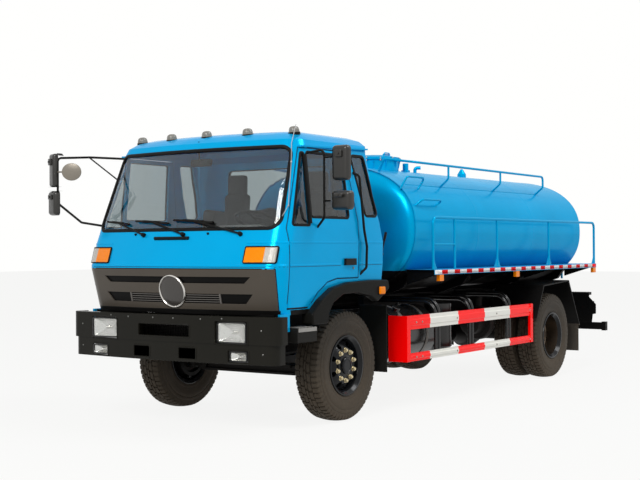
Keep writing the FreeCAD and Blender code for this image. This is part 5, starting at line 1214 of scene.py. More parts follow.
@dataclass
class Tank(Assembly):
    """The oval barrel with its seams, and the walkways, rails and fittings on it."""

    front: float = at(1.287)
    rear: float = at(5.86)
    half_x: float = 1.061
    half_z: float = 0.689
    middle_z: float = 1.824
    power: float = 2.3
    dish: float = 0.1
    sides: int = 128
    paint_line: float = 1.385
    deck_low: float = 1.338
    hatch_y: float = at(2.27)
    hatch_reach: float = 0.303
    hatch_bolts: int = 12
    lid_top: float = 2.668

    def ring(self, mesh: Mesh, y: float, inset: float) -> list[Edge]:
        """Adds one closed oval of the barrel.

        Args:
            mesh: The bmesh to add to.
            y: Place along the truck.
            inset: How far the oval is drawn in.

        Returns:
            The oval's edges.
        """
        points = []
        for step in range(self.sides):
            angle = math.tau * step / self.sides
            c, s = math.cos(angle), math.sin(angle)
            x = (self.half_x - inset) * math.copysign(abs(c) ** (2 / self.power), c)
            z = (self.half_z - inset) * math.copysign(abs(s) ** (2 / self.power), s)
            points.append((x, y, self.middle_z + z))
        return add_loop(mesh, points)

    def stations(self) -> list[tuple[float, float]]:
        """Place and inset of every ring, from the front head's middle to the rear one's."""
        head = [(1.0, 0.60), (0.985, 0.42), (0.94, 0.28), (0.86, 0.19), (0.74, 0.125), (0.58, 0.07), (0.4, 0.033),
                (0.2, 0.01), (0.06, 0.001)]
        front = [(self.front + self.dish * (1 - deep), inset) for deep, inset in head]
        rear = [(self.rear - self.dish * (1 - deep), inset) for deep, inset in reversed(head)]
        seams: list[tuple[float, float]] = []
        for y in (self.front + self.dish, self.front + 1.5, self.front + 3.0, self.rear - self.dish):
            seams += [(y - 0.03, 0.0), (y - 0.008, 0.0), (y - 0.004, -0.0008), (y, -0.0015), (y + 0.004, -0.0008),
                      (y + 0.008, 0.0), (y + 0.03, 0.0)]
        return front + sorted(seams) + rear

    def build(self) -> None:
        """Builds the barrel and dresses what it carries."""
        mesh = bmesh.new()
        join_loops(mesh, [self.ring(mesh, y, inset) for y, inset in self.stations()])
        # The barrel's faces below this height are black.
        cut_at(mesh, 2, self.paint_line)
        for face in mesh.faces:
            face.material_index = int(face.calc_center_median().z < self.paint_line)
        made = self.piece("tank_barrel", mesh, TANK_BLUE, smooth=40.0, extra=(CHASSIS_BLACK,))
        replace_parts(made, "tank")
        self.dressed("tank_subframe", CHASSIS_BLACK, 0.003)
        self.dressed("walkways", TANK_BLUE, 0.0015, extra=(WALK_PLATE, CHASSIS_BLACK), pick=self.deck)
        for node in ("side_railings", "top_rails", "rear_ladder"):
            self.dressed(node, RAIL_BLUE)
        for node in ("hatch_collar", "hatch_lid", "top_vents"):
            self.dressed(node, TANK_BLUE, 0.0015)
        self.clamps()
        self.lid_grip()

    def deck(self, middle: Vector, normal: Vector) -> int:
        """Finish of a walkway face: blue lip, chequered top or black underside.

        Args:
            middle: The face's middle.
            normal: The way it faces.

        Returns:
            The finish's index.
        """
        if normal.z > 0.9:
            return 1
        lip = abs(normal.x) > 0.9 and abs(middle.x) > 1.2
        return 0 if lip and middle.z > self.deck_low else 2

    def clamps(self) -> None:
        """Adds swing bolts with wing nuts round the manhole's flange, and hex bolts and ribs between them."""
        mesh = bmesh.new()
        for step, (x, y) in enumerate(ring_of(0.0, self.hatch_y, self.hatch_reach, self.hatch_bolts)):
            rods = ((2.606, 2.652, 0.007, 8), (2.640, 2.650, 0.012, 6)) if step % 2 else ((2.610, 2.648, 0.010, 6),)
            for low, high, radius, sides in rods:
                add_rod(mesh, (x, y, low), (x, y, high), radius, sides)
        self.piece("hatch_bolts", mesh, BOLT_ZINC, bevel=0.001)
        ribs = bmesh.new()
        for step in range(self.hatch_bolts):
            turn = Matrix.Rotation(math.tau * step / self.hatch_bolts, 4, "Z")
            verts = add_box(ribs, (0.279, -0.004, 2.535), (0.300, 0.004, 2.612))
            for vert in verts:
                if vert.co.z < 2.55 and vert.co.x > 0.29:
                    vert.co.x = 0.283
            bmesh.ops.transform(ribs, matrix=Matrix.Translation((0.0, self.hatch_y, 0.0)) @ turn, verts=verts)
        self.piece("hatch_ribs", ribs, TANK_BLUE)

    def lid_grip(self) -> None:
        """Adds the lifting handle on the manhole's lid."""
        mesh = bmesh.new()
        side = [(-0.07, -0.004), (-0.07, 0.012), (-0.06, 0.022)]
        points = [(0.16, self.hatch_y + a, self.lid_top + b) for a, b in side + [(-a, b) for a, b in reversed(side)]]
        add_tube(mesh, points, 0.007, 10)
        self.piece("hatch_grip", mesh, RAIL_BLUE, Body.HATCH_LID)


@dataclass
class WalkwayTape(Assembly):
    """Red and white reflecting tape along both walkway lips and the rear beam."""

    start: float = at(1.452)
    end: float = at(5.912)
    pairs: int = 16
    white_share: float = 0.54
    face_x: float = 1.235
    low: float = 1.349
    high: float = 1.392

    def build(self) -> None:
        """Lays the tape."""
        mesh = bmesh.new()
        pitch = (self.end - self.start) / self.pairs
        for sign in SIGNS:
            for index in range(self.pairs):
                first = self.start + index * pitch
                turn = first + pitch * self.white_share
                for a, b, shade in ((first, turn, 1), (turn, first + pitch, 0)):
                    inner, outer = sign * (self.face_x - 0.002), sign * (self.face_x + 0.0012)
                    tint(add_box(mesh, (inner, a, self.low), (outer, b, self.high)), shade)
        for index in range(12):
            x = -1.02 + index * 0.17
            tint(add_box(mesh, (x, at(6.658), 0.482), (x + 0.17, at(6.6612), 0.540)), index % 2)
        self.piece("reflecting_tape", mesh, TAPE_RED, extra=(TAPE_WHITE,))


# Chassis


@dataclass
class Chassis(Assembly):
    """Frame, axles, driveline and what hangs on the frame."""

    drum_x: float = 0.76
    drum_z: float = 0.73
    drum_radius: float = 0.295
    rail_x: float = 0.43
    joints: tuple[float, ...] = (-0.95, 0.75, 1.55, 2.35, 3.15, 3.95, 5.25, 5.9, 6.35)
    pump_x: float = 0.69
    pump_z: float = 0.72

    def build(self) -> None:
        """Dresses the chassis nodes and adds their small parts."""
        for node in ("chassis_rails", "crossmembers", "driveshaft", "underrun_bar"):
            self.dressed(node, CHASSIS_BLACK, 0.002)
        for node in ("front_axle", "knuckle_left", "knuckle_right", "tie_rod", "rear_axle"):
            self.dressed(node, CAST_BLACK, 0.004)
        self.dressed("leaf_springs", SPRING_BLACK, 0.002)
        self.dressed("engine_block", ENGINE_GREY, 0.012)
        for node in ("guard_pipes", "air_canister", "air_tank"):
            self.dressed(node, DRUM_BLACK, 0.003)
        self.dressed("fuel_tank", DRUM_BLACK, 0.004, extra=(STRAP_STEEL,), pick=self.strap)
        self.dressed("battery_box", CHASSIS_BLACK, 0.006)
        self.dressed("steps", STEP_BLACK, 0.003)
        self.dressed("rear_mudguards", MUD_BLACK, 0.002, cuts=((2, 0.62),), extra=(FLAP_RUBBER,), pick=self.flap)
        self.frame_bolts()
        self.drum_cap()
        self.tread_strips()
        self.pump()
        self.sump()
        self.radiator()

    def strap(self, middle: Vector, normal: Vector) -> int:
        """Finish of a fuel drum face: steel where it stands proud of the drum."""
        return int(math.hypot(middle.x - self.drum_x, middle.z - self.drum_z) > self.drum_radius + 0.0015)

    def flap(self, middle: Vector, normal: Vector) -> int:
        """Finish of a rear mudguard face: rubber on the hanging flap."""
        return int(middle.z < 0.62 and middle.y > REAR_AXLE_Y + 0.3)

    def frame_bolts(self) -> None:
        """Adds rows of flange bolts on the rails' webs where the crossmembers join."""
        mesh = bmesh.new()
        for sign in SIGNS:
            for place in self.joints:
                for z in (0.795, 0.865, 0.935):
                    for y in (at(place), at(place + 0.06)):
                        add_rod(mesh, (sign * (self.rail_x - 0.002), y, z), (sign * (self.rail_x + 0.007), y, z),
                                0.0115, 6)
        self.piece("frame_bolts", mesh, CAST_BLACK)

    def drum_cap(self) -> None:
        """Adds the fuel drum's filler neck with its knurled cap, and the gauge sender."""
        mesh = bmesh.new()
        spot = facing((self.drum_x + 0.16, at(1.16), self.drum_z + 0.247), (0.5, 0, 0.86))
        cap = [(-0.02, 0.001), (-0.02, 0.036), (0.018, 0.036), (0.018, 0.045), (0.04, 0.045), (0.046, 0.038),
               (0.047, 0.001)]
        add_turned(mesh, cap, spot, 28)
        add_turned(mesh, [(-0.01, 0.001), (-0.01, 0.03), (0.008, 0.03), (0.012, 0.014), (0.022, 0.013), (0.023, 0.001)],
                   facing((self.drum_x, at(1.5), self.drum_z + self.drum_radius), (0, 0, 1)), 20)
        self.piece("fuel_cap", mesh, DRUM_BLACK)

    def tread_strips(self) -> None:
        """Adds serrated alloy treads along the outer edges of the entry steps."""
        mesh = bmesh.new()
        for sign in SIGNS:
            for index in range(26):
                y = at(-0.925) + index * 0.0108
                add_box(mesh, (sign * 1.1835, y, 0.893), (sign * 1.1875, y + 0.0075, 0.927))
            for row in range(6):
                y = at(-0.91) + row * 0.048
                add_box(mesh, (sign * 1.02, y, 0.929), (sign * 1.184, y + 0.012, 0.933))
        self.piece("step_treads", mesh, ALLOY)

    def pump(self) -> None:
        """Adds the water pump on the left rail, with its riser to the barrel and its brackets."""
        mesh = bmesh.new()
        spot = facing((self.pump_x, at(3.5), self.pump_z), (0, 1, 0))
        add_turned(mesh, [(-0.24, 0.001), (-0.24, 0.105), (-0.225, 0.125), (-0.07, 0.13), (-0.06, 0.19), (-0.04, 0.2),
                          (0.04, 0.2), (0.06, 0.19), (0.07, 0.14), (0.10, 0.12), (0.22, 0.11), (0.235, 0.09),
                          (0.235, 0.001)], spot, 40)
        for x, z in ring_of(self.pump_x, self.pump_z, 0.183, 10, 0.0):
            add_rod(mesh, (x, at(3.43), z), (x, at(3.57), z), 0.010, 6)
        add_tube(mesh, [(self.pump_x, at(3.5), 0.88), (self.pump_x, at(3.5), 1.0), (self.pump_x, at(3.52), 1.045)],
                 0.05, 20)
        add_box(mesh, (0.425, at(3.34), 0.80), (0.62, at(3.40), 0.86))
        add_box(mesh, (0.425, at(3.62), 0.76), (0.66, at(3.68), 0.82))
        self.piece("water_pump", mesh, CAST_BLACK, bevel=0.002, smooth=40.0)

    def sump(self) -> None:
        """Adds the engine's ribbed sump and the plate that closes the frame's front."""
        mesh = bmesh.new()
        add_box(mesh, (-0.26, at(0.13), 0.53), (0.26, at(0.66), 0.604))
        for step in range(5):
            add_box(mesh, (-0.23, at(0.18 + 0.1 * step), 0.522), (0.23, at(0.19 + 0.1 * step), 0.532))
        add_box(mesh, (-0.412, at(-1.096), 0.94), (0.412, at(-1.092), 1.038))
        self.piece("engine_sump", mesh, CAST_BLACK, bevel=0.012)

    def radiator(self) -> None:
        """Adds the cooler core behind the bumper's slot, carried by the bumper's arms."""
        mesh = bmesh.new()
        front, back = at(-1.175), at(-1.14)
        add_box(mesh, (-0.384, front, 0.995), (0.384, back, 1.02))
        add_box(mesh, (-0.384, front, 0.81), (0.384, back, 0.83))
        for sign in SIGNS:
            add_box(mesh, (sign * 0.36, front, 0.825), (sign * 0.384, back, 1.0))
        for row in range(12):
            z = 0.838 + row * 0.0135
            add_box(mesh, (-0.37, front + 0.008, z), (0.37, back - 0.008, z + 0.003))
        for column in range(25):
            x = -0.36 + column * 0.03
            add_box(mesh, (x - 0.0015, front + 0.01, 0.825), (x + 0.0015, back - 0.01, 1.0))
        self.piece("cooler_core", mesh, CAST_BLACK)


@dataclass
class Guards(Assembly):
    """Side guards painted in red and white bands."""

    bands: tuple[float, ...] = (1.412, 2.039, 2.665, 3.318)
    bolt_places: tuple[float, ...] = (1.12, 1.24, 2.0, 2.96, 3.86)
    face_x: float = 1.2

    def build(self) -> None:
        """Dresses the guards and adds their bolts."""
        cuts = [(1, at(place)) for place in self.bands]
        self.dressed("side_guards", GUARD_RED, 0.0025, cuts=cuts, extra=(GUARD_WHITE,), pick=self.band)
        mesh = bmesh.new()
        for sign in SIGNS:
            for place in self.bolt_places:
                for z in (0.87, 0.519):
                    for low, high, radius, sides in ((-0.003, 0.002, 0.0105, 14), (0.0, 0.0065, 0.0075, 6)):
                        add_rod(mesh, (sign * (self.face_x + low), at(place), z),
                                (sign * (self.face_x + high), at(place), z), radius, sides)
        self.piece("guard_bolts", mesh, BOLT_ZINC)

    def band(self, middle: Vector, normal: Vector) -> int:
        """Finish of a guard face by the band that it lies in."""
        return sum(middle.y > at(place) for place in self.bands) % 2


@dataclass
class Lamp(Assembly):
    """A rectangular lamp unit: bezel, pressed reflector with its bulb, and ribbed lens."""

    name: str = "lamp"
    x: float = 0.752
    z: float = 0.9
    wide: float = 0.326
    high: float = 0.186
    front: float = at(-1.328)
    deep: float = 0.07

    def loop(self, mesh: Mesh, share: float, y: float, trim: float = 0.0) -> list[Edge]:
        """Adds one rounded rectangle of the lamp.

        Args:
            mesh: The bmesh to add to.
            share: Its size as a share of the lamp's.
            y: Its place along the truck.
            trim: Width taken off all round.

        Returns:
            Its edges.
        """
        a, b = self.wide / 2 * share - trim, self.high / 2 * share - trim
        corner = max(0.022 * share - trim / 2, min(a, b) * 0.15)
        outline = rounded(box_outline(0.0, 0.0, a, b), corner, NO_STEPS)
        return add_loop(mesh, [(self.x + px, y, self.z + pz) for px, pz in outline])

    def build(self) -> list[bpy.types.Object]:
        """Builds the lamp.

        Returns:
            Its pieces.
        """
        bezel = bmesh.new()
        shapes = [(0.012, self.front + 0.006), (0.010, self.front), (0.0, self.front + 0.003),
                  (0.0, self.front + self.deep)]
        loops = [self.loop(bezel, 1.0, y, trim) for trim, y in shapes]
        join_loops(bezel, loops, capped=False)
        bmesh.ops.contextual_create(bezel, geom=loops[-1])
        inner = self.loop(bezel, 1.0, self.front + 0.02, 0.012)
        bmesh.ops.bridge_loops(bezel, edges=loops[0] + inner)
        bowl = [(0.94, 0.024), (0.82, 0.034), (0.62, 0.046), (0.4, 0.054), (0.2, 0.057)]
        last = inner
        silver_start = len(bezel.faces)
        for share, step in bowl:
            ring = self.loop(bezel, share, self.front + step, 0.006)
            bmesh.ops.bridge_loops(bezel, edges=last + ring)
            last = ring
        bmesh.ops.contextual_create(bezel, geom=last)
        bezel.faces.ensure_lookup_table()
        for face in bezel.faces[silver_start:]:
            face.material_index = 1
        body = self.piece(self.name + "_body", bezel, LAMP_SHELL, smooth=40.0, extra=(REFLECTOR,))
        bulb = bmesh.new()
        spot = facing((self.x, self.front + 0.056, self.z), (0, -1, 0))
        add_turned(bulb, [(0.0, 0.001), (0.0, 0.016), (0.008, 0.016), (0.012, 0.009), (0.028, 0.009), (0.032, 0.006),
                          (0.034, 0.001)], spot, 20)
        bulb_piece = self.piece(self.name + "_bulb", bulb, REFLECTOR)
        lens = bmesh.new()
        steps = [(0.2, -0.001), (0.5, 0.0), (0.8, 0.003), (0.97, 0.008), (0.97, 0.013), (0.8, 0.008), (0.5, 0.005),
                 (0.2, 0.004)]
        join_loops(lens, [self.loop(lens, share, self.front + step, 0.010) for share, step in steps])
        lens_piece = self.piece(self.name + "_lens", lens, LENS_GLASS, smooth=50.0)
        return [body, bulb_piece, lens_piece]


@dataclass
class Bumper(Assembly):
    """Front bumper with its lamps, opening rims and bolts."""

    openings: tuple[tuple[float, float, float, float], ...] = (
        (0.0, 0.901, 0.298, 0.051), (0.27, 0.703, 0.093, 0.0465), (-0.27, 0.703, 0.093, 0.0465),
        (0.752, 0.9, 0.165, 0.095), (-0.752, 0.9, 0.165, 0.095), (0.819, 0.694, 0.102, 0.048),
        (-0.819, 0.694, 0.102, 0.048))
    head_x: float = 0.752
    fog_x: float = 0.819
    tow_x: float = 0.27
    tow_z: float = 0.703

    def build(self) -> None:
        """Dresses the bumper and builds what it carries."""
        self.dressed("bumper", BUMPER_DARK, 0.006)
        skin = Skin(self.model, ["bumper"])
        lamps = []
        for side in Side:
            lamps += Lamp(self.model, f"headlamp_{side.word}", side.value * self.head_x).build()
            lamps += Lamp(self.model, f"fog_lamp_{side.word}", side.value * self.fog_x, 0.694, 0.2, 0.092,
                          at(-1.318)).build()
        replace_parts(lamps[0], "front_lamps")
        mesh = bmesh.new()
        for x, z, half_x, half_z in self.openings:
            add_frame(mesh, skin.front, box_outline(x, z, half_x, half_z), 0.009, 0.018, 0.06, 0.0065, 0.005)
        self.piece("opening_rims", mesh, BUMPER_DARK)
        bolts = bmesh.new()
        for sign in SIGNS:
            for x, z in ((1.062, 0.925), (1.07, 0.721), (0.43, 1.012), (0.12, 1.012), (0.66, 1.02)):
                add_turned(bolts, [(-0.002, 0.001), (-0.002, 0.0072), (0.0025, 0.007), (0.004, 0.004), (0.0045, 0.001)],
                           skin.front(sign * x, z), 14)
        self.piece("bumper_bolts", bolts, BOLT_BRIGHT)
        self.tow_pockets()

    def tow_pockets(self) -> None:
        """Adds the sheet pockets behind the tow openings, each with its pin."""
        mesh = bmesh.new()
        for sign in SIGNS:
            loops = []
            for place, half_x, half_z in ((-1.343, 0.092, 0.046), (-1.24, 0.092, 0.046), (-1.24, 0.096, 0.05),
                                          (-1.343, 0.096, 0.05)):
                corners = box_outline(sign * self.tow_x, self.tow_z, half_x, half_z)
                loops.append(add_loop(mesh, [(x, at(place), z) for x, z in corners]))
            join_loops(mesh, loops[:2], capped=False)
            join_loops(mesh, [loops[2], loops[3], loops[0]], capped=False)
            for loop in loops[1:3]:
                bmesh.ops.contextual_create(mesh, geom=loop)
            x, y = sign * self.tow_x, at(-1.30)
            add_rod(mesh, (x, y, self.tow_z - 0.048), (x, y, self.tow_z + 0.048), 0.014, 14)
        self.piece("tow_pockets", mesh, CAST_BLACK)


@dataclass
class RearEnd(Assembly):
    """Tail lamps, side markers, outlet valve and the blank plate."""

    red_low: float = 0.673
    red_high: float = 0.787

    def build(self) -> None:
        """Dresses the rear and adds its small parts."""
        cuts = [(0, sign * x) for x in (self.red_low, self.red_high) for sign in SIGNS]
        self.dressed("tail_lamps", LAMP_RED, 0.004, cuts=cuts, extra=(LAMP_AMBER, LAMP_WHITE), pick=self.lens)
        self.dressed("outlet_pipe", PIPE_STEEL, 0.002)
        low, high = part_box("outlet_pipe")
        mesh = bmesh.new()
        spot = facing(((low[0] + high[0]) / 2, high[1] - 0.085, low[2] + 0.045), (0, 1, 0))
        add_turned(mesh, [(0.0, 0.03), (0.0, 0.07), (0.014, 0.07), (0.014, 0.03)], spot, 36)
        for x, z in ring_of(spot.point.x, spot.point.z, 0.058, 6, 0.0):
            add_rod(mesh, (x, spot.point.y - 0.008, z), (x, spot.point.y + 0.022, z), 0.007, 6)
        self.piece("outlet_flange", mesh, PIPE_STEEL, bevel=0.001)
        self.tail_board()
        self.plate()

    def tail_board(self) -> None:
        """Adds the sheet board that carries the lamps between the rails' ends, with its brackets."""
        mesh = bmesh.new()
        edge = [(0.90, 0.985), (0.915, 0.917), (1.01, 0.82), (1.01, 0.69), (0.965, 0.68), (0.95, 0.566)]
        outline = edge + [(-x, z) for x, z in reversed(edge)]
        join_loops(mesh, [add_loop(mesh, [(x, at(y), z) for x, z in outline]) for y in (6.482, 6.486)])
        for sign in SIGNS:
            low, high = sorted((sign * 0.52, sign * 0.9))
            add_box(mesh, (low, at(6.486), 0.945), (high, at(6.6), 0.985))
            add_box(mesh, (low, at(6.30), 0.60), (low + 0.03, at(6.482), 0.95))
        self.piece("tail_board", mesh, CHASSIS_BLACK, bevel=0.002)

    def plate(self) -> None:
        """Adds a blank number plate with a rim on the lamp carrier."""
        mesh = bmesh.new()
        for place, half, height, corner, sink, shade in ((6.55, (0.235, 0.075), 0.006, 0.008, 0.004, 1),
                                                         (6.556, (0.22, 0.062), 0.003, 0.006, 0.001, 0)):
            spot = facing((0.0, at(place), 0.78), (0, 1, 0))
            tint(add_pad(mesh, spot, half, height, corner, sink), shade)
        self.piece("rear_plate", mesh, PLATE_BLANK, extra=(CHASSIS_BLACK,))

    def lens(self, middle: Vector, normal: Vector) -> int:
        """Finish of a lamp face: amber side markers, and red, amber and white fields behind."""
        if middle.z > 1.2 or abs(middle.x) > self.red_high:
            return 1
        return 2 if abs(middle.x) < self.red_low else 0


# Cab


@dataclass
class Cab(Assembly):
    """The cab's skin, fenders, lamps and outside trim."""

    rides: ClassVar[Body] = Body.CAB
    sill: float = 1.088
    front_turn: float = 54.2
    turn_lamp_edge: float = 0.998
    arch: tuple[tuple[float, float], ...] = (
        (-0.725, 0.945), (-0.725, 1.045), (-0.574, 1.165), (-0.385, 1.266), (-0.117, 1.31), (0.3, 1.322),
        (0.575, 1.316), (0.604, 1.234), (0.376, 1.108), (0.251, 1.169), (0.02, 1.206), (-0.22, 1.201),
        (-0.387, 1.129), (-0.453, 1.046), (-0.476, 0.945))

    def build(self) -> None:
        """Dresses the cab and adds its trim."""
        self.dressed("cab_shell", CAB_BLUE, 0.004, 24.0, cuts=((2, self.sill),), extra=(CHASSIS_BLACK,),
                     pick=self.shade)
        self.dressed("grille_panel", TAUPE, 0.002, extra=(BAR_METAL,), pick=self.bar)
        self.fenders()
        cuts = [(0, sign * self.turn_lamp_edge) for sign in SIGNS]
        self.dressed("cab_lamps", LAMP_AMBER, 0.004, cuts=cuts, extra=(LAMP_WHITE,), pick=self.lens, drop=self.dome)
        self.wipers()
        skin = Skin(self.model, ["cab_shell", "grille_panel"])
        self.creases(skin)
        self.lamp_frames(skin)
        self.marker_bases()
        self.fender_markers()
        self.lock_lever()
        self.splash_sheets()

    def fenders(self) -> None:
        """Builds the wheel-arch trims with rounded outlines, seated on the cab's skin."""
        mesh = bmesh.new()
        shape = [(at(y), z) for y, z in self.arch]
        for sign, door in ((1.0, "door_left"), (-1.0, "door_right")):
            skin = Skin(self.model, ["cab_shell", door])
            loops = []
            for x, inset in ((0.0, 0.0), (1.188, 0.0), (1.197, 0.004), (1.202, 0.012)):
                points = []
                for y, z in rounded(grown(shape, -inset), 0.03, 0.03):
                    reach = x
                    if not x:
                        reach = abs(skin.side(y, z, sign).point.x) + 0.0008 if z > 1.06 else 1.082
                    points.append((sign * reach, y, z))
                loops.append(add_loop(mesh, points))
            join_loops(mesh, loops)
        made = self.piece("fender_trims", mesh, FENDER_GREY, smooth=24.0)
        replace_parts(made, "cab_fenders")

    def shade(self, middle: Vector, normal: Vector) -> int:
        """Finish of a shell face: black on the sills, which is painted shadow of the gap under the doors, and black
        behind the grille and on the underside.
        """
        behind_grille = abs(middle.x) < 1.07 and middle.y < at(-1.0) and 1.086 < middle.z < 1.447
        # The sills' black is painted shadow of the gap under the doors.
        sill = middle.z < self.sill and (middle.y > at(-0.96) or abs(middle.x) < 1.08)
        return int(behind_grille or sill)

    def bar(self, middle: Vector, normal: Vector) -> int:
        """Finish of a grille face: bright bars in the lower slot."""
        return int(abs(middle.x) < 0.545 and 1.146 < middle.z < 1.224)

    def lens(self, middle: Vector, normal: Vector) -> int:
        """Finish of a turn lamp's face: amber, and clear at the outer end."""
        return int(abs(middle.x) > self.turn_lamp_edge)

    def dome(self, middle: Vector) -> bool:
        """Whether a face belongs to a roof marker, which is modelled anew."""
        return middle.z > 2.4

    def wipers(self) -> None:
        """Dresses the wipers and adds their blades, arms' covers and joints."""
        self.dressed("wipers", TRIM_BLACK, 0.001)
        skin = Skin(self.model, ["cab_shell", "cab_glass"])
        mesh = bmesh.new()
        for pivot, tip, heel in ((-0.39, -0.965, -0.63), (0.1, -0.54, -0.11), (0.72, -0.05, 0.41)):
            ends = [skin.front(tip, 1.89), skin.front(heel, 1.86)]
            blade = [Spot(spot.point + spot.normal * 0.014, spot.normal) for spot in ends]
            path = [Spot(blade[0].point.lerp(blade[1].point, step / 8), blade[0].normal) for step in range(9)]
            add_strip(mesh, path, 0.006, 0.014, sink=0.008)
            add_strip(mesh, path[2:7], 0.011, 0.020, sink=0.001)
            foot = skin.front(pivot, 1.755)
            lifted = foot.point + foot.normal * 0.024
            middle = (blade[0].point + blade[1].point) / 2 + blade[0].normal * 0.018
            arm = [Spot(lifted.lerp(middle, step / 6), foot.normal) for step in range(7)]
            add_strip(mesh, arm, 0.0085, 0.008, sink=0.005)
            cap = [(-0.004, 0.001), (-0.004, 0.022), (0.026, 0.019), (0.036, 0.014), (0.038, 0.001)]
            add_turned(mesh, cap, foot, 20)
        self.piece("wiper_blades", mesh, TRIM_BLACK)

    def splash_sheets(self) -> None:
        """Adds the folded sheets that close the gap under the cab's front edge."""
        mesh = bmesh.new()
        for sign in SIGNS:
            for back, top in ((-1.114, 1.052), (-1.09, 0.939)):
                add_box(mesh, (sign * 0.45, at(-1.118), 0.935), (sign * 1.06, at(back), top))
        add_box(mesh, (-0.31, at(-1.118), 0.985), (0.31, at(-1.114), 1.052))
        self.piece("splash_sheets", mesh, CHASSIS_BLACK)

    def creases(self, skin: Skin) -> None:
        """Adds the pressed belt line and the swage on the shell, and a black strip that paints the shade in the groove
        under the belt.
        """
        raised, groove = bmesh.new(), bmesh.new()
        turns = [math.radians(-self.front_turn + 2 * self.front_turn * step / 64) for step in range(65)]
        add_strip(raised, [skin.round(turn, BELT_Z) for turn in turns], 0.010, 0.0035)
        # The black strip under the belt is painted shade of the belt's groove.
        add_strip(groove, [skin.round(turn, BELT_Z - 0.011) for turn in turns], 0.0028, 0.0009)
        for sign in SIGNS:
            corner = [math.radians(sign * (40.0 + (self.front_turn - 40.0) * step / 10)) for step in range(11)]
            add_strip(raised, [skin.round(turn, SWAGE_Z) for turn in corner], 0.009, 0.003)
            for z, height, half, target in ((BELT_Z, 0.0035, 0.010, raised), (SWAGE_Z, 0.003, 0.009, raised),
                                            (BELT_Z - 0.011, 0.0009, 0.0028, groove)):
                add_strip(target, skin.line(z, 0.122, 0.545, sign, 7), half, height)
        panel = [(-1.072, 1.086), (1.072, 1.086), (1.096, 1.448), (-1.096, 1.448)]
        add_frame(groove, skin.front, panel, 0.003, 0.006, 0.06, 0.004, 0.0012)
        door = [(-1.003, 1.092), (-0.7, 1.092), (-0.555, 1.23), (-0.4, 1.32), (-0.25, 1.348), (0.112, 1.348),
                (0.112, 1.88), (-0.02, 2.53), (-0.728, 2.53), (-1.003, 1.8)]
        for sign in SIGNS:
            path = [skin.side(at(y), z, sign) for y, z in rounded(grown(door, 0.0035), 0.006, 0.05) if z > 1.095]
            parts = [[]]
            for first, second in zip(path, path[1:]):
                parts[-1].append(first)
                if (second.point - first.point).length > 0.12:
                    parts.append([])
            parts[-1].append(path[-1])
            for part in parts:
                if len(part) > 2:
                    add_strip(groove, part, 0.0032, 0.0006)
        self.piece("cab_swages", raised, CAB_BLUE)
        # The grooves piece holds the painted shade of the belt groove and the dark shut lines round the doors and the
        # grille panel.
        self.piece("cab_grooves", groove, SEAL_BLACK)

    def lamp_frames(self, skin: Skin) -> None:
        """Adds the black frames round the turn lamps."""
        mesh = bmesh.new()
        for sign in SIGNS:
            outline = box_outline(sign * 0.952, 1.572, 0.149, 0.071)
            add_frame(mesh, skin.front, outline, 0.0, 0.012, 0.04, 0.0065, 0.0135)
        self.piece("turn_lamp_frames", mesh, TRIM_BLACK)

    def marker_bases(self) -> None:
        """Adds the roof markers: rubber feet and ribbed domes that lean back."""
        feet, domes = bmesh.new(), bmesh.new()
        for x in (-0.924, -0.462, 0.0, 0.462, 0.924):
            spot = facing((x, at(-0.725 + 0.14 * x * x), 2.668), (0, -0.12, 1))
            add_turned(feet, [(-0.06, 0.001), (-0.06, 0.056), (0.012, 0.056), (0.016, 0.053), (0.016, 0.001)], spot, 28)
            add_turned(domes,
                       [(0.012, 0.001), (0.012, 0.051), (0.034, 0.048), (0.052, 0.043), (0.063, 0.034), (0.069, 0.018),
                               (0.070, 0.001)], spot, 28)
        self.piece("marker_feet", feet, SEAL_BLACK)
        self.piece("marker_domes", domes, DOME_GREY, smooth=50.0)

    def fender_markers(self) -> None:
        """Adds the amber markers on the fenders' tails with their black seats."""
        lens, seat = bmesh.new(), bmesh.new()
        for sign in SIGNS:
            spot = facing((sign * 1.2015, at(0.44), 1.217), (sign, 0, 0))
            add_pad(seat, spot, (0.058, 0.044), 0.006, 0.012)
            add_pad(lens, spot, (0.050, 0.036), 0.02, 0.012)
        self.piece("fender_marker_seats", seat, TRIM_BLACK)
        self.piece("fender_markers", lens, LAMP_AMBER)

    def lock_lever(self) -> None:
        """Adds the cab lock lever on the rear corner, on its bracket."""
        mesh = bmesh.new()
        x, y, z = 1.02, at(0.575), 1.565
        add_box(mesh, (x - 0.03, y - 0.03, z - 0.05), (x + 0.03, y + 0.05, z + 0.03))
        add_rod(mesh, (x, y + 0.03, z), (x + 0.09, y + 0.05, z), 0.013, 14)
        add_tube(mesh,
                 [(x + 0.075, y + 0.05, z - 0.03), (x + 0.078, y + 0.055, z + 0.04), (x + 0.08, y + 0.085, z + 0.12),
                        (x + 0.08, y + 0.115, z + 0.2)], 0.009, 12)
        add_tube(mesh, [(x + 0.08, y + 0.09, z + 0.135), (x + 0.08, y + 0.122, z + 0.215)], 0.0135, 14)
        self.piece("cab_lock_lever", mesh, TRIM_BLACK, bevel=0.002)


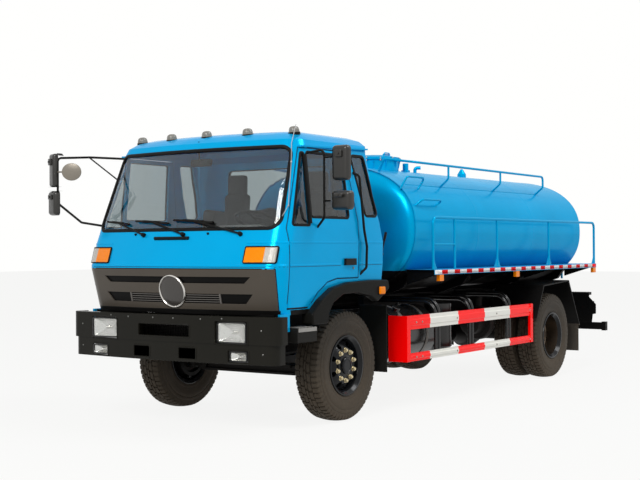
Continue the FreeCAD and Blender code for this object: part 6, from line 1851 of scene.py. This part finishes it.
@dataclass
class Glazing(Assembly):
    """Windscreen, rear screen and quarter windows with their rubbers."""

    rides: ClassVar[Body] = Body.CAB
    sink: float = 0.014

    def build(self) -> None:
        """Builds the rubbers and dresses the glass."""
        self.dressed("cab_glass", SCREEN_GLASS, extra=(SIDE_GLASS,), pick=self.tinted)
        skin = Skin(self.model, ["cab_shell"])
        mesh = bmesh.new()
        screen = [(-1.078, 1.808), (1.078, 1.808), (1.010, 2.536), (-1.010, 2.536)]
        add_frame(mesh, skin.front, screen, 0.004, 0.094, 0.05, 0.0165, 0.008, self.sink)
        add_frame(mesh, skin.rear, box_outline(0.0, 2.2, 0.64, 0.24), 0.004, 0.064, 0.06, 0.014, 0.007, self.sink)
        quarter = [(0.262, 1.936), (0.468, 1.936), (0.306, 2.5), (0.082, 2.5)]
        for sign in SIGNS:
            add_frame(mesh, skin.flank(sign), quarter, 0.004, 0.04, 0.05, 0.0135, 0.007, self.sink)
        self.piece("cab_window_rubbers", mesh, SEAL_BLACK)

    def tinted(self, middle: Vector, normal: Vector) -> int:
        """Finish of a glass face: the windows behind the screen are darker."""
        return int(middle.y > at(-0.6))


@dataclass
class FrontPanel(Assembly):
    """Plain boss, wash handle, washer jets and aerial on the cab's front."""

    rides: ClassVar[Body] = Body.CAB
    boss: Point = (0.013, at(-1.243), 1.247)
    lean: Point = (0.0, -0.974, -0.225)

    def build(self) -> None:
        """Builds the front's small parts."""
        skin = Skin(self.model, ["cab_shell"])
        spot = facing(self.boss, self.lean)
        ring = bmesh.new()
        add_turned(ring,
                   [(-0.004, 0.136), (-0.004, 0.156), (0.006, 0.155), (0.014, 0.149), (0.016, 0.145), (0.013, 0.14),
                          (0.004, 0.137)], spot, 72)
        self.piece("boss_ring", ring, BRIGHT_TRIM, smooth=50.0)
        disc = bmesh.new()
        add_turned(disc,
                   [(-0.004, 0.001), (-0.004, 0.138), (0.003, 0.138), (0.008, 0.11), (0.0115, 0.07), (0.013, 0.03),
                          (0.0132, 0.001)], spot, 64)
        self.piece("boss_disc", disc, LAMP_SMOKE, smooth=50.0)
        grip = bmesh.new()
        path = [skin.front(-0.237 + 0.41 * step / 14, 1.724) for step in range(15)]
        add_strip(grip, path, 0.0155, 0.020, sink=0.004)
        add_strip(grip, [Spot(s.point + s.normal * 0.018, s.normal) for s in path[1:-1]], 0.007, 0.006, sink=0.001)
        for x in (-0.507, 0.374):
            jet = skin.front(x, 1.763)
            add_turned(grip,
                       [(-0.003, 0.001), (-0.003, 0.013), (0.004, 0.012), (0.012, 0.007), (0.016, 0.006),
                        (0.017, 0.001)],
                       jet, 16)
        self.piece("front_grip", grip, TRIM_BLACK)
        self.aerial(skin)

    def aerial(self, skin: Skin) -> None:
        """Adds the rod aerial along the driver's screen pillar, on two clips."""
        mesh = bmesh.new()
        places = ((-1.005, 1.905), (-0.944, 1.998), (-0.814, 2.392), (-0.76, 2.56))
        spots = [skin.side(at(y), z) for y, z in places]
        points = [spot.point + spot.normal * 0.016 for spot in spots]
        points.append(Vector((points[-1].x - 0.008, at(-0.69), 2.742)))
        add_tube(mesh, [tuple(point) for point in points], 0.0034, 8)
        for spot in (spots[1], spots[2]):
            add_turned(mesh, [(-0.003, 0.001), (-0.003, 0.009), (0.014, 0.007), (0.020, 0.0065), (0.021, 0.001)], spot,
                       12)
        self.piece("aerial", mesh, PIPE_STEEL)


@dataclass
class Doors(Assembly):
    """Both doors with their window frames, handles and the mirrors."""

    rides: ClassVar[Body] = Body.CAB
    vent: tuple[tuple[float, float], ...] = ((-0.936, 1.838), (-0.690, 1.838), (-0.690, 2.480), (-0.716, 2.480))
    pane: tuple[tuple[float, float], ...] = ((-0.650, 1.912), (-0.040, 1.912), (-0.070, 2.490), (-0.650, 2.490))
    front: float = -0.996
    rear: float = 0.108
    handle: float = -0.15
    edge_z: float = 1.108
    arm_x: float = -1.45
    arm_y: float = at(-1.25)

    def build(self) -> None:
        """Builds both doors' trim and dresses their nodes."""
        for side in Side:
            self.door(side)
        self.dressed("grab_bars", TRIM_BLACK)
        self.heads("mirror_left", Body.DOOR_LEFT, [(1.42, at(-0.6), 2.385, 0.088, 0.157, 0.034, 0.0),
                                                   (1.425, at(-0.6), 2.0515, 0.102, 0.0855, 0.05, 0.0)])
        self.heads("mirror_right", Body.CAB, [(-1.518, at(-1.25), 2.4025, 0.068, 0.1625, 0.029, -24.0),
                                              (-1.512, at(-1.25), 2.081, 0.085, 0.119, 0.032, -20.0)])
        self.post()
        self.ramp_mirror()

    def post(self) -> None:
        """Adds the bent post of the right mirrors with the heads' stubs."""
        mesh = bmesh.new()
        x, y = self.arm_x, self.arm_y
        add_tube(mesh, [(-1.36, at(-1.196), 1.9945), (-1.43, at(-1.238), 2.061), (-1.447, at(-1.248), 2.085),
                        (x, y, 2.12), (x, y, 2.487), (-1.4465, at(-1.2405), 2.513), (-1.438, at(-1.218), 2.5218),
                        (-1.38, at(-1.0635), 2.5315)], 0.0113, 14)
        for z in (2.33, 2.46, 2.12):
            add_rod(mesh, (x, y, z), (-1.505, y, z), 0.009, 12)
        self.piece("mirror_right_post", mesh, TRIM_BLACK)

    def ramp_mirror(self) -> None:
        """Adds the round mirror that looks down on the right front corner."""
        mesh = bmesh.new()
        head = facing((-1.262, at(-1.245), 2.378), (0.5, -0.82, -0.05))
        add_rod(mesh, (self.arm_x, self.arm_y, 2.385), tuple(head.point), 0.009, 12)
        add_turned(mesh,
                   [(-0.012, 0.001), (-0.012, 0.06), (0.002, 0.092), (0.008, 0.096), (0.013, 0.094), (0.016, 0.088),
                          (0.014, 0.001)], head, 40)
        to_head, back = Matrix.Translation(head.point), Matrix.Translation(-head.point)
        flat = to_head @ Matrix.Diagonal((1.0, 1.0, 0.88, 1.0)) @ back
        bmesh.ops.transform(mesh, matrix=flat, verts=mesh.verts)
        self.piece("ramp_mirror", mesh, MIRROR_BACK, smooth=40.0)

    def door(self, side: Side) -> None:
        """Dresses one door and adds its rubbers, swages and lock."""
        node = f"door_{side.word}"
        body = Body[node.upper()]
        sign = side.value
        self.dressed(node, CAB_BLUE, 0.003, 24.0, cuts=((2, self.edge_z),), extra=(TRIM_BLACK,),
                     pick=self.shade)
        self.dressed(node + "_glass", SIDE_GLASS)
        skin = Skin(self.model, [node])
        seals_and_groove_shade = bmesh.new()
        for outline, radius in ((self.vent, 0.014), (self.pane, 0.032)):
            add_frame(seals_and_groove_shade, skin.flank(sign), outline, 0.004, radius, 0.05, 0.0125, 0.006, 0.014)
        divider = [skin.side(at(-0.670), 1.85 + 0.62 * step / 10, sign) for step in range(11)]
        add_strip(seals_and_groove_shade, divider, 0.021, 0.007, sink=0.01)
        # The belt groove is a black strip of painted shade, laid in with the window rubbers.
        groove = skin.line(BELT_Z - 0.011, self.front, self.rear, sign, 22)
        add_strip(seals_and_groove_shade, [spot for spot in groove if spot.point.y < at(self.handle)], 0.0028, 0.0009)
        self.piece(node + "_seals", seals_and_groove_shade, SEAL_BLACK, body)
        swages = bmesh.new()
        for z, half, height in ((BELT_Z, 0.010, 0.0035), (SWAGE_Z, 0.009, 0.003)):
            line = skin.line(z, self.front, self.rear, sign, 22)
            add_strip(swages, [spot for spot in line if z > BELT_Z or spot.point.y < at(self.handle)], half, height)
        self.piece(node + "_swages", swages, CAB_BLUE, body)
        lock = bmesh.new()
        add_turned(lock, [(-0.002, 0.001), (-0.002, 0.013), (0.004, 0.012), (0.006, 0.009), (0.0065, 0.001)],
                   skin.side(at(0.023), 1.440, sign), 20)
        self.piece(node + "_lock", lock, BOLT_BRIGHT, body)

    def shade(self, middle: Vector, normal: Vector) -> int:
        """Finish of a door face: black pull handle, and a black bottom edge that is painted shadow of the gap under the
        door.
        """
        handle = abs(middle.x) > 1.157 and at(self.handle) < middle.y < at(0.05) and 1.46 < middle.z < 1.535
        # Faces below the edge height are black as painted shadow under the door.
        return int(handle or middle.z < self.edge_z)

    def heads(self, node: str, body: Body, heads: Sequence[tuple[float, ...]]) -> None:
        """Dresses a mirror's arms and adds its moulded housings with their silvered glass, which faces the rear.

        Args:
            node: The mirror's node, which names the pieces.
            body: The body they ride on.
            heads: Centre, half width, half height, half depth and turn of each.
        """
        self.dressed(node, TRIM_BLACK, drop=self.old_head)
        shell, glass = bmesh.new(), bmesh.new()
        for x, y, z, half_x, half_z, half_y, turn in heads:
            way = Matrix.Rotation(math.radians(turn), 3, "Z") @ Vector((0, -1, 0))
            middle = Vector((x, y, z))
            add_pad(shell, Spot(middle - way * half_y, way), (half_x, half_z), half_y * 2, min(half_x, half_z) * 0.42,
                    0.002, 0.35)
            ahead = middle + way * (half_y - 0.002) + Vector((0, 0, half_z * 0.5))
            add_pad(shell, Spot(ahead, way), (half_x * 0.4, half_z * 0.2), 0.014, 0.010, 0.006)
            add_rod(shell, tuple(ahead + way * 0.008), tuple(ahead + way * 0.022), 0.011, 14)
            rear = Spot(middle - way * (half_y + 0.0015), -way)
            add_pad(glass, rear, (half_x - 0.010, half_z - 0.010), 0.0015, min(half_x, half_z) * 0.36, 0.001)
        self.piece(node + "_heads", shell, MIRROR_SHELL, body, smooth=50.0)
        self.piece(node + "_glass", glass, MIRROR_SILVER, body)

    def old_head(self, middle: Vector) -> bool:
        """Whether a mirror's face belongs to a head, which is modelled anew."""
        if middle.x > 0:
            return middle.x > 1.305
        inner = math.hypot(middle.x + 1.3, middle.z - 2.4) < 0.1105 and abs(middle.y - at(-1.245)) < 0.03
        off = middle.y - self.arm_y
        rod = math.hypot(middle.x - self.arm_x, off) < 0.0125 or (middle.z > 2.5 and middle.x > -1.44)
        tall = 2.238 < middle.z < 2.567 and middle.x < -1.399 and abs(off) < 0.0365
        low = 1.96 < middle.z < 2.202 and middle.x < -1.394 and abs(off) < 0.0415
        return inner or ((tall or low) and not rod)


@dataclass
class Seats(Assembly):
    """Driver's seat and double passenger seat with sprung cushions on steel boxes."""

    rides: ClassVar[Body] = Body.CAB
    voxel: float = 0.012
    cushion_low: float = 1.452
    cushion_high: float = 1.582
    cap: float = 0.02
    inset: float = 0.012
    soft_edge: float = 0.03
    hip_z: float = 1.59
    lean: float = 0.145
    stitch_depth: float = 0.011
    stitch_half: float = 0.009
    pressure: float = 4.0
    cloth_frames: int = 20
    fill: float = 0.7

    def build(self) -> None:
        """Builds the boxes and inflates the cushions."""
        boxes = bmesh.new()
        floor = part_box("seats")[0][2]
        for low, high in ((0.36, 0.80), (-0.84, 0.06)):
            add_soft_box(boxes, (low, at(-0.21), floor), (high, at(0.2), self.cushion_low + 0.01), 0.012, 2)
        made = self.piece("seat_boxes", boxes, DASH_GREY)
        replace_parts(made, "seats")
        self.cushion("driver_seat_cushion", 0.30, 0.86, 3)
        self.cushion("passenger_seat_cushion", -0.90, 0.12, 5)
        self.back("driver_seat_back", 0.32, 0.84, 3, (0.58,))
        self.back("passenger_seat_back", -0.88, 0.10, 5, (-0.42,))

    def cushion(self, name: str, low: float, high: float, channels: int) -> None:
        """Builds one seat cushion.

        Args:
            name: The piece's name.
            low: Its lowest X.
            high: Its highest X.
            channels: Number of sewn channels over its top.
        """
        mesh = bmesh.new()
        add_soft_box(mesh, (low + self.inset, at(-0.258), self.cushion_low),
                     (high - self.inset, at(0.165), self.cushion_high), self.soft_edge, 3)
        self.finish_pad(name, mesh, (low, high), channels, self.cushion_low, True)

    def back(self, name: str, low: float, high: float, channels: int, heads: Sequence[float]) -> None:
        """Builds one leaning backrest with head pads on its upper edge.

        Args:
            name: The piece's name.
            low: Its lowest X.
            high: Its highest X.
            channels: Number of sewn channels.
            heads: X of each head pad.
        """
        mesh = bmesh.new()
        blocks = [(low + 0.01, high - 0.01, 1.60, 2.03)]
        blocks += [(x - 0.15, x + 0.15, 1.98, 2.20) for x in heads] + [(x - 0.11, x + 0.11, 2.19, 2.40) for x in heads]
        for x0, x1, z0, z1 in blocks:
            add_soft_box(mesh, (x0, at(0.158), z0), (x1, at(0.252), z1), self.soft_edge, 3)
        for vert in mesh.verts:
            vert.co.y += min(vert.co.z - self.hip_z, 0.45) * self.lean
        self.finish_pad(name, mesh, (low, high), channels, 1.588, False)

    def finish_pad(self, name: str, mesh: Mesh, span: tuple[float, float], channels: int, floor: float,
                   lying: bool) -> None:
        """Args:
            name: The piece's name.
            mesh: Its start shape, freed here.
            span: Lowest and highest X.
            channels: Number of sewn channels.
            floor: Height that it rests on.
            lying: Whether its top is the sitting face, rather than its front.
        """
        made = self.object_of(name, mesh, 60.0, 0.0)
        shape = made.modifiers.new("voxels", "REMESH")
        shape.mode = "VOXEL"
        shape.voxel_size = self.voxel
        self.apply(made)
        rest = [vert.co.copy() for vert in made.data.vertices]
        cloth = made.modifiers.new("air", "CLOTH")
        cloth.settings.use_pressure = True
        cloth.settings.uniform_pressure_force = self.pressure
        cloth.settings.effector_weights.gravity = 0.0
        for frame in range(1, self.cloth_frames + 1):
            bpy.context.scene.frame_set(frame)
        self.apply(made)
        bpy.context.scene.frame_set(1)
        width = (span[1] - span[0]) / channels
        for vert, start in zip(made.data.vertices, rest):
            move = vert.co - start
            if move.length > self.cap:
                move *= self.cap / move.length
            co = start + move
            nearest = min(abs(co.x - span[0] - width * step) for step in range(1, channels))
            depth = self.stitch_depth * math.exp(-(nearest / self.stitch_half) ** 2)
            if lying:
                share = min(1.0, max(0.0, (co.z - floor - 0.08) / 0.03))
                co.z -= depth * share
            else:
                share = float(start.y < at(0.2) + (start.z - self.hip_z) * self.lean and start.z < 2.0)
                co.y += depth * share
            co.z = max(co.z, floor)
            vert.co = co
        for polygon in made.data.polygons:
            polygon.use_smooth = True
        surface = made.modifiers.new("surface", "SUBSURF")
        surface.levels = 1
        surface.render_levels = 1
        self.finish_piece(made, (SEAT_CLOTH,), self.rides)

    def apply(self, made: bpy.types.Object) -> None:
        """Keeps what an object's modifiers make of it and drops them."""
        view = bpy.context.evaluated_depsgraph_get()
        data = bpy.data.meshes.new_from_object(made.evaluated_get(view))
        made.modifiers.clear()
        made.data = data


@dataclass
class Interior(Assembly):
    """Dash, steering wheel and inside mirror."""

    rides: ClassVar[Body] = Body.CAB

    def build(self) -> None:
        """Builds what is seen through the glass."""
        Seats(self.model).build()
        self.dressed("dashboard", DASH_GREY, 0.008)
        self.dressed("steering_wheel", TRIM_BLACK, 0.002)
        self.dials()
        self.inside_mirror()

    def dials(self) -> None:
        """Adds the instrument bezels and air vents on the dash's rear face."""
        skin = Skin(self.model, ["dashboard"])
        mesh = bmesh.new()
        for x in (0.43, 0.56, 0.69):
            spot = skin.cast((x, at(-0.3), 1.79), (x, at(-1.0), 1.79))
            add_turned(mesh, [(-0.002, 0.040), (-0.002, 0.052), (0.005, 0.050), (0.005, 0.043)], spot, 28)
        for x in (-0.85, -0.35, 0.15, 0.98):
            spot = skin.cast((x, at(-0.3), 1.66), (x, at(-1.0), 1.66))
            add_pad(mesh, spot, (0.075, 0.03), 0.006, 0.012)
            for row in range(4):
                middle = spot.point + spot.normal * 0.0065 + Vector((0, 0, -0.018 + row * 0.012))
                add_box(mesh, (x - 0.062, middle.y - 0.003, middle.z - 0.002),
                        (x + 0.062, middle.y + 0.003, middle.z + 0.002))
        self.piece("dash_fittings", mesh, TRIM_BLACK)

    def inside_mirror(self) -> None:
        """Adds the inside mirror on its stalk from the header."""
        shell, glass = bmesh.new(), bmesh.new()
        spot = facing((0.0, at(-0.80), 2.43), (0, 1, -0.15))
        ahead = Spot(spot.point - spot.normal * 0.022, -spot.normal)
        add_pad(shell, Spot(spot.point, -spot.normal), (0.125, 0.034), 0.022, 0.02, 0.002, 0.8)
        add_tube(shell, [tuple(ahead.point), (0.0, at(-0.84), 2.47), (0.0, at(-0.845), 2.63)], 0.007, 10)
        add_pad(glass, Spot(spot.point + spot.normal * 0.001, spot.normal), (0.119, 0.029), 0.0015, 0.018, 0.001)
        self.piece("inside_mirror", shell, TRIM_BLACK)
        self.piece("inside_mirror_glass", glass, MIRROR_SILVER)


# Stage


@dataclass
class Studio:
    """Floor, light and camera."""

    eye: Point = (7.2288, -12.1059, 1.6384)
    yaw: float = 34.266
    pitch: float = 0.3347
    roll: float = -0.3408
    lens: float = 67.37
    floor_white: float = 0.88
    white: tuple[float, ...] = (1.0, 1.0, 0.99, 1.0)
    sky: tuple[float, ...] = (0.93, 0.96, 1.0, 1.0)
    sky_level: float = 0.44

    def camera(self) -> None:
        """Places the camera at the photograph's viewing angle."""
        data = bpy.data.cameras.new("camera")
        data.lens = self.lens
        data.sensor_width = 36.0
        data.sensor_fit = "HORIZONTAL"
        data.clip_end = 200.0
        made = new_object("camera", data)
        turns = ((self.yaw, "Z"), (90.0 + self.pitch, "X"), (self.roll, "Z"))
        first, second, third = (Matrix.Rotation(math.radians(angle), 4, axis) for angle, axis in turns)
        made.matrix_world = Matrix.Translation(self.eye) @ first @ second @ third
        bpy.context.scene.camera = made

    def floor(self) -> None:
        """Adds a wide pale floor."""
        mesh = bmesh.new()
        bmesh.ops.create_grid(mesh, x_segments=1, y_segments=1, size=60.0)
        data = bpy.data.meshes.new("floor")
        mesh.to_mesh(data)
        mesh.free()
        made = new_object("floor", data)
        material, shader = new_material("floor_pale")
        tree = material.node_tree
        set_inputs(shader, {"Base Color": (0.62, 0.62, 0.61, 1), "Roughness": 0.9})
        white = tree.nodes.new("ShaderNodeEmission")
        set_inputs(white, {"Color": self.white})
        part = tree.nodes.new("ShaderNodeMath")
        part.operation = "MULTIPLY"
        part.inputs[1].default_value = self.floor_white
        tree.links.new(self.seen(tree), part.inputs[0])
        self.blend_white(tree, part.outputs[0], shader.outputs[0], white.outputs[0], "Material Output")
        data.materials.append(material)

    def seen(self, tree: Tree) -> Socket:
        """Value that is 1 for what the camera sees, straight or in a reflection or through glass.

        Args:
            tree: The material's or the world's nodes.

        Returns:
            The value's socket.
        """
        path = tree.nodes.new("ShaderNodeLightPath")
        total = path.outputs["Is Camera Ray"]
        for name in ("Is Glossy Ray", "Is Transmission Ray"):
            add = tree.nodes.new("ShaderNodeMath")
            add.operation = "MAXIMUM"
            tree.links.new(total, add.inputs[0])
            tree.links.new(path.outputs[name], add.inputs[1])
            total = add.outputs[0]
        return total

    def blend_white(self, tree: Tree, share: Socket, plain: Socket,
                    white: Socket, output: str) -> None:
        """Mixes a plain and a white surface by a share and sends it to the output.

        Args:
            tree: The nodes.
            share: Share of white.
            plain: The plain surface.
            white: The white surface.
            output: Name of the output node.
        """
        mix = tree.nodes.new("ShaderNodeMixShader")
        for source, target in zip((share, plain, white), mix.inputs):
            tree.links.new(source, target)
        tree.links.new(mix.outputs[0], tree.nodes[output].inputs["Surface"])

    def world(self) -> None:
        """Lights the scene from a pale sky that the camera sees as white."""
        made = bpy.data.worlds.new("sky")
        made.use_nodes = True
        tree = made.node_tree
        back = tree.nodes["Background"]
        set_inputs(back, {"Color": self.sky, "Strength": self.sky_level})
        white = tree.nodes.new("ShaderNodeBackground")
        set_inputs(white, {"Color": self.white, "Strength": 1.0})
        self.blend_white(tree, self.seen(tree), back.outputs[0], white.outputs[0], "World Output")
        bpy.context.scene.world = made

    def lamp(self, name: str, place: Point, aim: Point, size: float, power: float, colour: Colour) -> None:
        """Adds a square soft light.

        Args:
            name: The light's name.
            place: Where it hangs.
            aim: The point it faces.
            size: Its side.
            power: Watts.
            colour: Its colour.
        """
        data = bpy.data.lights.new(name, "AREA")
        data.shape = "SQUARE"
        data.size = size
        data.energy = power
        data.color = colour
        way = Vector(aim) - Vector(place)
        made = new_object(name, data)
        made.matrix_world = Matrix.Translation(place) @ way.to_track_quat("-Z", "Y").to_matrix().to_4x4()

    def build(self) -> None:
        """Sets the stage."""
        self.camera()
        self.floor()
        self.world()
        self.lamp("key", (3.6, -14.5, 9.5), (0, -2.0, 1.2), 5.0, 1200.0, (1.0, 0.98, 0.95))
        self.lamp("side", (9.5, 2.5, 14.0), (0, 1.0, 1.4), 6.0, 1000.0, (0.97, 0.98, 1.0))
        bpy.context.scene.view_settings.view_transform = "Standard"


def main() -> None:
    """Builds the whole truck and its stage."""
    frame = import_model()
    model = Model(frame)
    Studio().build()
    for part in (WheelSet, Tank, WalkwayTape, Chassis, Guards, Bumper, RearEnd, Cab, Glazing, FrontPanel, Doors,
                 Interior):
        part(model).build()


if __name__ == "__main__":
    logging.basicConfig(level=logging.INFO, format="%(message)s")
    main()
